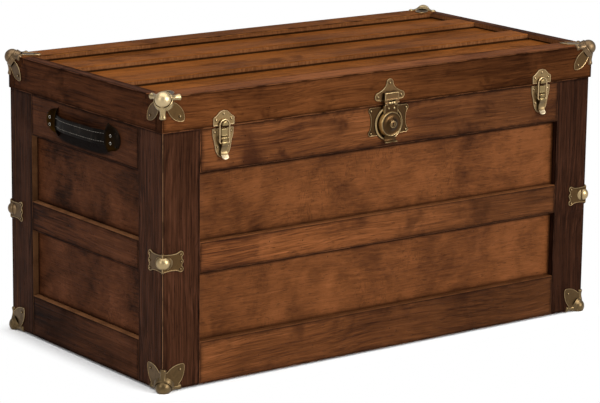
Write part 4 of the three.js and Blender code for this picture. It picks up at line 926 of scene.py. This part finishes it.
# the keeper's hump: share of its outline, height
HUMP = [(1.0, 0.0), (1.0, 4.7), (0.985, 5.7), (0.94, 6.6), (0.86, 7.2), (0.74, 7.5), (0.56, 7.6), (0.3, 7.62),
        (0.1, 7.62)]
HUMP_MIDDLE = 6.4


def latch_keeper():
    bm = bmesh.new()
    pressed(bm, KEEPER, RIM, raised(LID_PROUD), rim=WORN)
    hump = [(-7.5, 2.0), (7.5, 2.0), (7.5, 3.9)] + arc(0, 3.9, 7.5, 6, 174, 22) + [(-7.5, 3.9)]
    start = len(bm.faces)
    rows = [[bm.verts.new((x * share, HUMP_MIDDLE + (y - HUMP_MIDDLE) * share, 4.5 + height)) for x, y in hump]
            for share, height in HUMP]
    grid_faces(bm, rows)
    end_faces(bm, rows)
    painted(bm, start, 3)
    nails(bm, [(0, 24.4), (-17.4, 13.6), (17.4, 13.6)], 4.6, 2.0, 1.5)
    return bm


def latch_base():
    """The case's plate with a low box under the lever and two ears that hold its pin."""
    bm = bmesh.new()
    pin_y, pin_z = LATCH_PIN
    pressed(bm, BASE_PLATE, RIM, raised(0.3), rim=WORN)
    start = len(bm.faces)
    pressed(bm, rectangle(-7.5, -18.4, 7.5, -3.6, 1.2),
            [(0, 0), (0, 4.9), (0.3, 5.7), (0.9, 6.1), (1.5, 6.2), (2.2, 6.0), (2.6, 5.9)], raised(1.7))
    painted(bm, start, 3)
    for sx in (-1, 1):
        ear = filleted([(-7.2, -3.4, 1.0), (7.0, -3.4, 3.2), (7.0, 3.4, 3.2), (-7.2, 3.4, 1.0)])
        part = bmesh.new()
        pressed(part, ear, [(0.3, 0), (0, 0.3), (0, 1.8), (0.3, 2.1)])
        merge(bm, part, axes(Z, Y, X, (5.6 if sx > 0 else -7.7, pin_y, 3.6)))
        head = [(7.6, 2.1), (8.2, 2.15), (8.8, 1.9), (9.1, 1.3), (9.2, 0.4)]
        tube(bm, [Vector((sx * x, pin_y, pin_z)) for x, _ in head], [r for _, r in head])
    tube(bm, [Vector((x, pin_y, pin_z)) for x in (-8, 0, 8)], [1.5] * 3, 14)
    nails(bm, [(-18.6, -9.6), (18.6, -9.6), (-12.6, -38.5), (12.6, -38.5)], 1.6, 1.9, 1.4)
    return bm


def latch_lever():
    """A bent strip whose tip is rubbed bright and painted brighter still as a highlight, on a barrel for the loop and a
    smaller one for its own pin.
    """
    bm = bmesh.new()
    path = smooth_path([
        (0, -31.0, 10.4), (0, -35.0, 9.6), (0, -38.0, 7.3), (0, -41.5, 5.4), (0, -46.0, 4.6), (0, -50.5, 5.2),
        (0, -55.0, 7.6), (0, -59.0, 10.6), (0, -60.6, 11.6),
    ], 6)
    tip = [14.6, 14.0, 13.2, 12.2, 11.0]
    waisted = [math.sin(math.pi * min(i / (len(path) - 1) / 0.72, 1.0)) ** 2 for i in range(len(path) - len(tip))]
    widths = [15.0 - 1.8 * w for w in waisted] + tip
    sheet_strip(bm, path, widths, 1.9, crown=0.6, tongue=1.6)
    start = len(bm.faces)
    revolve(bm, [(3.1, -7.5), (3.7, -7.2), (4.0, -6.6), (4.0, 6.6), (3.7, 7.2), (3.1, 7.5)], 32, along_x(*LEVER_PIN))
    revolve(bm, [(2.6, -5.1), (3.1, -4.8), (3.2, -4.4), (3.2, 4.4), (3.1, 4.8), (2.6, 5.1)], 28, along_x(*LATCH_PIN))
    pressed(bm, rectangle(-5.1, -30, 5.1, -22, 0.2), [(0.3, 0), (0, 0.3), (0, 2.6), (0.3, 2.9)], raised(6.1))
    painted(bm, start, 3)
    return bm


def latch_loop():
    bm = bmesh.new()
    half, centre, low, r = 11.0, 2.4, -31.0, 3.4
    leg, base = centre - low - 3, half - r
    outline = arc(0, centre, half, 0, 180, 36) + [(-half, centre - leg * k / 14) for k in range(1, 14)]
    outline += arc(-base, low + r, r, 180, 270, 8) + [(-base + 2 * base * k / 8, low) for k in range(1, 8)]
    outline += arc(base, low + r, r, 270, 360, 8) + [(half, low + 3 + leg * k / 14) for k in range(1, 14)]
    wire_ring(bm, [Vector((x, y, LEVER_PIN[1])) for x, y in outline], 1.5, 14)
    return bm


for end, sx in ENDS:
    place = front_place(sx * LATCH_X)
    lever, loop = f"latch_lever_{end}", f"latch_loop_{end}"
    finish_mesh(f"latch_keeper_metal_{end}", latch_keeper(), LATCH_METAL, "lid", f"latch_keeper_{end}", place)
    finish_mesh(f"latch_base_metal_{end}", latch_base(), LATCH_METAL, "chest", f"latch_base_{end}", place)
    finish_mesh(f"latch_lever_metal_{end}", latch_lever(), LEVER_METAL, lever, lever, place)
    finish_mesh(f"latch_loop_metal_{end}", latch_loop(), (RUBBED,), loop, loop, place)

# ---------------------------------------------------------------- lock


def lid_plate_outline():
    r = 8.2
    right = [(0.0, 8.0), (20.0, 8.0)] + bend((20.0, 8.0), (25.0, 8.4), (28.5, 8.8), 5)
    right += arc(28.5, 17.0, r, -90, 82, 18) + bend((29.6, 25.1), (12.8, 30.6), (8.4, 41.6), 14)
    return mirrored_outline(right + arc(0, 43.0, r + 0.2, -8, 90))


def lock_lid_plate():
    bm = bmesh.new()
    pressed(bm, lid_plate_outline(), RIM, raised(LID_PROUD), rim=WORN)
    nails(bm, [(0, 43.2), (-28.6, 17.0), (28.6, 17.0)], 4.6, 2.3, 1.6)
    pressed(bm, rectangle(-17, 9, 17, 25, 1.6), [
        (-0.6, 0), (-0.2, 0.8), (0, 2.0), (0, 6.0), (0.3, 7.0), (0.9, 7.6), (1.6, 7.8), (2.4, 7.7), (3.0, 7.3),
        (3.6, 7.2),
    ], raised(4.6), rim=(4, 6))
    for sx in (-1, 1):
        low, high = sorted((sx * 8.8, sx * 18.0))
        revolve(bm, [(2.2, low), (2.7, low + 0.5), (2.7, high - 0.5), (2.2, high)], 24, along_x(*HASP_PIN))
        pressed(bm, rectangle(low, 4.2, high, 11.5, 0.3), [(0.3, 0), (0, 0.3), (0, 7.4), (0.5, 8.2)], raised(3.6))
    revolve(bm, [(1.3, -9), (1.3, 9)], 14, along_x(*HASP_PIN))
    return bm


def lock_plate_outline():
    r, x, waist = 5.6, 44.0, (43.0, -32.2)
    right = [(0.0, -60.4), (30.0, -60.4)] + bend((30.0, -60.4), (37.0, -60.2), (41.2, -59.9), 5)
    right += arc(x, -55.0, r, -120, 50) + bend((47.6, -50.7), (43.4, -46.0), waist, 8) + [waist]
    right += bend(waist, (43.4, -18.4), (47.6, -13.8), 8) + arc(x, -9.5, r, -50, 90)
    return mirrored_outline(right + [(0.0, -3.9)])


def lock_plate():
    """The case's plate with the raised ring that the hasp's drum sits in."""
    bm = bmesh.new()
    pressed(bm, lock_plate_outline(), THIN_RIM, raised(0.3), rim=(2, 4))
    at = Matrix.Translation((0, LOCK_Y, 0))
    edge = [(35.0, 0.5), (34.8, 1.6), (34.1, 3.2), (33.1, 4.6), (32.0, 5.3), (31.0, 4.9), (30.1, 3.6), (29.4, 2.2),
            (28.8, 1.0)]
    revolve(bm, edge, 96, at, caps=False, bright=(2, 3, 4))
    revolve(bm, [(27.6, 0.9), (27.5, 1.2), (10.0, 1.3), (9.0, 2.0), (0, 2.2)], 64, at, caps=False)
    revolve(bm, [(5.4, 1.0), (5.0, 1.6), (4.9, 5.6), (4.4, 6.3), (0, 6.4)], 32, at, caps=False)
    nails(bm, [(-43.6, -9.8), (43.6, -9.8), (-43.6, -54.6), (43.6, -54.6)], 1.5, 2.1, 1.6)
    return bm


# the hasp's drum from its back edge over the side, rim, hollow and boss into the bore; its side is steps 3 to 8
DRUM_PROFILE = [
    (24.0, 2.8), (26.1, 2.7), (26.4, 3.1), (26.3, 4.0), (25.9, 5.6), (25.5, 7.2), (25.1, 8.8), (24.7, 10.4),
    (24.3, 11.6), (24.0, 12.2), (23.7, 12.7), (23.2, 13.0), (22.7, 12.9), (22.2, 12.5), (21.6, 12.0), (20.6, 11.7),
    (18.5, 11.7), (16.2, 12.0), (14.0, 12.6), (12.6, 13.3), (11.4, 14.2), (10.3, 15.3), (9.3, 16.5), (8.4, 17.4),
    (7.6, 17.95), (7.1, 18.2), (6.7, 18.3), (6.2, 18.25), (5.9, 17.7), (5.85, 12.0), (18.0, 10.4), (20.2, 8.0),
    (24.0, 2.8),
]
DRUM_SEGMENTS = 96


def hasp():
    bm = bmesh.new()
    revolve(bm, DRUM_PROFILE, DRUM_SEGMENTS, Matrix.Translation((0, LOCK_Y, 0)), caps=False, bright=(10, 11, 25, 26))
    # the drum's side takes the brighter brass, painted light
    painted(bm, DRUM_SEGMENTS * 3, 3, DRUM_SEGMENTS * 9)
    pressed(bm, rectangle(-16.5, -22.0, 16.5, 0.9, 0.3, 2.4), [(0.4, 0), (0, 0.4), (0, 1.6), (0.3, 2.1), (0.8, 2.2)],
            raised(8.5), rim=(2, 4))
    pressed(bm, rectangle(-8.1, -1.0, 8.1, 4.6, 0.3), [(0.4, 0), (0, 0.4), (0, 1.8), (0.4, 2.2)], raised(8.6))
    start = len(bm.faces)
    for x in (-15.6, 15.6):
        cheek = rectangle(x - 0.9, -24.0, x + 0.9, -1.6, 0.3)
        pressed(bm, cheek, [(0.3, 0), (0, 0.3), (0, 3.4), (0.3, 3.9)], raised(5.6))
    painted(bm, start, 3)
    for low in (-8.2, -2.6, 3.0):
        knuckle = [(2.1, low), (2.7, low + 0.5), (2.7, low + 4.7), (2.1, low + 5.2)]
        revolve(bm, knuckle, 24, along_x(*HASP_PIN), bright=(1,))
    nails(bm, [(6.8, -6.6)], 10.7, 2.6, 1.4)
    nails(bm, [(-6.8, -6.6)], 10.7, 2.2, 1.2)
    path = smooth_path([
        (0, -59.5, 7.4), (0, -64.0, 7.1), (0, -68.5, 7.0), (0, -71.6, 7.8), (0, -73.4, 10.0), (0, -74.0, 12.6),
    ], 6)
    widths = [27.0 + 2.4 * math.sin(math.pi * 0.5 * i / (len(path) - 1)) for i in range(len(path))]
    sheet_strip(bm, path, widths, 1.8, crown=-1.2, tongue=2.4)
    return bm


def key_plug():
    """The plug that turns in the drum, with the lock's cam behind it."""
    bm = bmesh.new()
    plug = [(5.4, 8.9), (5.6, 9.1), (5.6, 17.2), (5.4, 17.6), (4.9, 17.8), (0, 17.85)]
    revolve(bm, plug, 48, Matrix.Translation((0, LOCK_Y, 0)))
    pressed(bm, rectangle(-2.8, -40.8, 9.0, -35.2, 1.0), [(0.2, 0), (0, 0.2), (0, 1.6), (0.2, 1.8)], raised(8.8))
    return bm


def keyhole():
    bm = bmesh.new()
    pressed(bm, arc(0, -35.9, 1.55, -58, 238, 16) + [(-0.8, -41.4), (0.8, -41.4)], [(0, 0), (0, 0.25)], raised(17.72))
    return bm


place = front_place(0)
finish_mesh("lock_lid_plate_metal", lock_lid_plate(), PLATE_METAL, "lid", "lock_lid_plate", place)
finish_mesh("lock_plate_metal", lock_plate(), LOCK_METAL, "chest", "lock_plate", place)
finish_mesh("hasp_metal", hasp(), LOCK_METAL, "hasp", "hasp", place)
finish_mesh("key_plug_metal", key_plug(), (LID_PLATE,), "lock_plug", "key_plug", place)
finish_mesh("keyhole_shadow", keyhole(), (KEYHOLE,), "lock_plug", None, place)

# ---------------------------------------------------------------- handles

SEAM_LINE = 8.0


def strap_line():
    """The strap's middle line along the end of the case: flat under the caps, arched between them."""
    seat, rise, mouth, half = 3.6, 12.0, 90.0, 124.0
    right = [(mouth * 0.36, seat + rise * 0.97), (mouth * 0.7, seat + rise * 0.76), (mouth * 0.92, seat + rise * 0.28),
             (half * 0.86, seat + 0.2), (half, seat)]
    points = [(-x, h) for x, h in reversed(right)] + [(0, seat + rise)] + right
    return smooth_path([(x, h, 0) for x, h in points], 14)


def strap_mesh():
    """The strap: a soft-edged section with a groove along each seam, swept along its line."""
    bm = bmesh.new()
    line = strap_line()
    section = []
    for s in (-1 + 2 * k / 40 for k in range(41)):
        v = s * 14.5
        edge = max(0.0, 1 - ((abs(s) - 0.9) / 0.1) ** 2) ** 0.5 if abs(s) > 0.9 else 1.0
        groove = math.exp(-((abs(v) - SEAM_LINE) / 0.9) ** 2) * 0.5
        section.append((v, 2.0 * edge + 0.4 * (1 - s * s) - groove))
    rows = []
    for i, point in enumerate(line):
        step = line[min(i + 1, len(line) - 1)] - line[max(i - 1, 0)]
        out = Vector((-step.y, step.x)).normalized()
        wobble = 1 + 0.0025 * math.sin(point.x * 0.11) + 0.0015 * math.sin(point.x * 0.31 + 1.0)

        def across(half, sign):
            return [bm.verts.new((point.x + out.x * h * sign, v * wobble, point.y + out.y * h * sign)) for v, h in half]

        rows.append(across(section, 1) + across(reversed(section), -0.95))
    grid_faces(bm, rows)
    end_faces(bm, rows)
    bmesh.ops.recalc_face_normals(bm, faces=bm.faces)
    return bm


def stitch_mesh():
    """Two seams of thick thread, one short bar for each stitch."""
    bm = bmesh.new()
    line = strap_line()
    lengths = [0.0]
    for a, b in zip(line, line[1:]):
        lengths.append(lengths[-1] + (b - a).length)

    def at(distance):
        for i in range(len(line) - 1):
            if lengths[i + 1] >= distance:
                t = (distance - lengths[i]) / (lengths[i + 1] - lengths[i])
                return line[i].lerp(line[i + 1], t), (line[i + 1] - line[i]).normalized()
        return line[-1], (line[-1] - line[-2]).normalized()

    pitch, size, margin, surface = 6.2, 4.6, 34.0, 2.1
    start = margin
    while start < lengths[-1] - margin:
        for v in (-SEAM_LINE, SEAM_LINE):
            points, radii = [], []
            for t, lift, r in ((0, -0.5, 0.2), (0.1, 0.1, 0.5), (0.5, 0.35, 0.62), (0.9, 0.1, 0.5), (1.0, -0.5, 0.2)):
                point, along = at(start + size * t)
                height = surface + lift
                points.append(Vector((point.x - along.y * height, v, point.y + along.x * height)))
                radii.append(r)
            tube(bm, points, radii, 8)
        start += pitch
    return bm


CAP_MOUTH, CAP_LENGTH, CAP_WIDTH, CAP_HEIGHT = 90.2, 42.6, 57.6, 9.0
# a cap from its mouth to its tip: share of its length, width and height
CAP = [(0, 1.0, 1.12), (0.012, 0.99, 1.06), (0.04, 0.955, 0.99), (0.09, 0.92, 0.965), (0.17, 0.89, 0.965),
       (0.27, 0.86, 0.97), (0.38, 0.83, 0.965), (0.5, 0.79, 0.94), (0.61, 0.735, 0.89), (0.72, 0.66, 0.81),
       (0.81, 0.57, 0.7), (0.88, 0.46, 0.56), (0.93, 0.36, 0.41), (0.97, 0.235, 0.25), (0.992, 0.12, 0.1),
       (1.0, 0.05, 0.02)]


def cap_mesh():
    bm = bmesh.new()
    rows = []
    for along, width, rise in CAP:
        x, y, z = CAP_MOUTH + CAP_LENGTH * along, CAP_WIDTH / 2 * width, CAP_HEIGHT * rise
        rows.append([bm.verts.new((x, s * y, 0.4 + z * (1 - abs(s) ** 2.6) ** 0.8))
                     for s in (-1 + 2 * k / 32 for k in range(33))])
    grid_faces(bm, rows, closed=False)
    bmesh.ops.recalc_face_normals(bm, faces=bm.faces)
    return bm


def cap_nails():
    bm = bmesh.new()
    for y in (-7.3, 7.3):
        at = Matrix.Translation((110.0, y, 8.6))
        revolve(bm, [(3.2, -0.6), (3.2, 0.5), (2.8, 1.0), (2.3, 0.8), (2.0, 0.2)], 24, at, caps=False, bright=(1, 2))
        revolve(bm, [(2.0, 0.1), (1.7, 0.8), (1.0, 1.2), (0, 1.3)], 20, at, caps=False)
    return bm


leather, thread = leather_material(), thread_material()
for end, sx in ENDS:
    base = axes(sx * Y, Z, sx * X, (sx * HALF_CASE, STRAP_Y, STRAP_Z))
    strap = f"handle_strap_{end}"
    finish_mesh(f"handle_strap_leather_{end}", strap_mesh(), (leather,), "chest", strap, base)
    finish_mesh(f"handle_stitches_{end}", stitch_mesh(), (thread,), "chest", None, base)
    for side, sy in SIDES:
        turn = base @ Matrix.Diagonal((sx * sy, 1, 1, 1))
        cap = finish_mesh(f"handle_cap_metal_{side}_{end}", cap_mesh(), (BLACK_METAL,), "chest",
                          f"handle_cap_{side}_{end}", turn)
        shell = cap.modifiers.new("shell", "SOLIDIFY")
        shell.thickness = 0.0012
        shell.offset = -1.0
        finish_mesh(f"handle_nails_{side}_{end}", cap_nails(), NAILS, "chest", None, turn)

# ---------------------------------------------------------------- hinge and lid stay

HINGE_HALF, KNUCKLES, HINGE_NAILS = 490.0, 16, 17


def hinge_mesh(on_lid):
    """One leaf of the long hinge, with its nails and every other knuckle."""
    bm = bmesh.new()
    low, high = (AXIS_Z + 0.6, AXIS_Z + 17.0) if on_lid else (AXIS_Z - 17.0, AXIS_Z - 0.6)
    part = bmesh.new()
    pressed(part, rectangle(-HINGE_HALF, low, HINGE_HALF, high, 1.0), [(0.2, 0), (0, 0.2), (0, 1.3), (0.3, 1.6)])
    reach, z = HINGE_HALF - 15.0, high - 5.5 if on_lid else low + 5.5
    nails(part, [(-reach + 2 * reach * k / (HINGE_NAILS - 1), z) for k in range(HINGE_NAILS)], 1.55, 2.4, 0.9)
    merge(bm, part, axes(-X, Z, Y, (0, BACK + 0.3, 0)))
    pitch = 2 * HINGE_HALF / KNUCKLES
    for i in range(int(on_lid), KNUCKLES, 2):
        x0 = -HINGE_HALF + i * pitch + 0.25
        x1 = x0 + pitch - 0.5
        revolve(bm, [(3.2, x0), (3.7, x0 + 0.4), (3.7, x1 - 0.4), (3.2, x1)], 20, along_x(AXIS_Y, AXIS_Z))
    return bm


finish_mesh("hinge_case_leaf_metal", hinge_mesh(False), HINGE_METAL, "chest", "hinge_case_leaf")
finish_mesh("hinge_lid_leaf_metal", hinge_mesh(True), HINGE_METAL, "lid", "hinge_lid_leaf")
for name in ("stay_arm", "stay_lid_bracket", "stay_case_bracket"):
    dressed(nodes[name], BRASS_DARK, 0.00001, 0.0003, 40)

# ---------------------------------------------------------------- floor, light and camera

floor_mesh = bpy.data.meshes.new("floor")
bm = bmesh.new()
bm.faces.new([bm.verts.new((x, y, 0)) for x, y in ((-40, -40), (40, -40), (40, 40), (-40, 40))])
bm.to_mesh(floor_mesh)
bm.free()
floor = linked("floor", floor_mesh)
n = Nodes("floor_paper")
paper = n.mix(n.noise(n.coordinates, scale=2.0), (0.93, 0.93, 0.93), (0.94, 0.94, 0.94))
n.finished(Base_Color=paper, Roughness=0.9, Specular_IOR_Level=0.0)
# seen by the camera and in metal, the floor turns to plain white where the chest's shadow has faded
path = n.node("LightPath").outputs
parts = n.split(n.coordinates)
away = [n.math("POWER", n.most(abs(parts[i]) - half, 0.0), 2.0) for i, half in ((0, 0.53), (1, 0.27))]
far = n.span(n.math("SQRT", away[0] + away[1]), 0.0, 0.055)
seen = n.most(path["Is Camera Ray"], path["Is Glossy Ray"]) * far
white = n.node("Emission", Color=(1, 1, 1), Strength=1.0)
blend = n.node("MixShader", Fac=seen)
for output, socket in ((n.shader.outputs[0], blend.inputs[1]), (white.outputs[0], blend.inputs[2]),
                       (blend.outputs[0], n.tree.nodes["Material Output"].inputs["Surface"])):
    n.tree.links.new(output, socket)
floor_mesh.materials.append(n.material)

world = bpy.data.worlds.new("studio")
bpy.context.scene.world = world
world.use_nodes = True
tree = world.node_tree
tree.nodes.clear()
where, height, ramp, room, output = (tree.nodes.new("ShaderNode" + kind) for kind in (
    "TexCoord", "SeparateXYZ", "ValToRGB", "Background", "OutputWorld"))
for element, (position, grey) in zip(ramp.color_ramp.elements, ((0.0, 0.60), (0.7, 0.40))):
    element.position = position
    element.color = (grey, grey, grey, 1)
for source, socket in ((where.outputs["Generated"], height.inputs[0]), (height.outputs["Z"], ramp.inputs[0]),
                       (ramp.outputs[0], room.inputs["Color"]), (room.outputs[0], output.inputs[0])):
    tree.links.new(source, socket)


def softbox(name, location, target, size, power):
    light = bpy.data.lights.new(name, "AREA")
    light.shape = "RECTANGLE"
    light.size, light.size_y = size
    light.energy = power
    lamp = linked(name, light)
    lamp.location = location
    lamp.rotation_euler = (Vector(target) - Vector(location)).to_track_quat("-Z", "Y").to_euler()


softbox("key_light", (1.4, -3.8, 1.9), (0.1, -0.2, 0.3), (2.6, 1.8), 190)
softbox("top_light", (-0.2, -0.2, 3.2), (0, 0, 0.3), (4.6, 3.6), 110)
softbox("side_light", (-3.8, -0.6, 1.9), (-0.5, 0, 0.3), (1.8, 1.8), 30)

# the photo's camera, solved from its perspective: pixels for the picture, lid lengths for the place
WIDTH, HEIGHT, FOCAL, CENTRE = 600, 403, 2732.2, (315.6, 193.2)
LID_LENGTH = 1.067
camera_data = bpy.data.cameras.new("camera")
camera_data.sensor_width = 36.0
camera_data.lens = FOCAL / WIDTH * camera_data.sensor_width
camera_data.shift_x = (WIDTH / 2 - CENTRE[0]) / WIDTH
camera_data.shift_y = (CENTRE[1] - HEIGHT / 2) / WIDTH
camera_data.clip_start = 0.1
camera_data.clip_end = 100
camera = linked("camera", camera_data)
bpy.context.scene.camera = camera
yaw, pitch, roll = math.radians(36.95), math.radians(12.93), math.radians(0.77)
forward = Vector((math.sin(yaw) * math.cos(pitch), math.cos(yaw) * math.cos(pitch), -math.sin(pitch)))
right = Vector((math.cos(yaw), -math.sin(yaw), 0))
up = right.cross(forward)
camera.matrix_world = axes(
    math.cos(roll) * right + math.sin(roll) * up, -math.sin(roll) * right + math.cos(roll) * up, -forward,
    Vector((-3.07, -4.12, 1.428)) * LID_LENGTH + Vector((0, SHIFT * MM, WOOD_BOTTOM * MM)))
bpy.context.scene.view_settings.view_transform = "Standard"
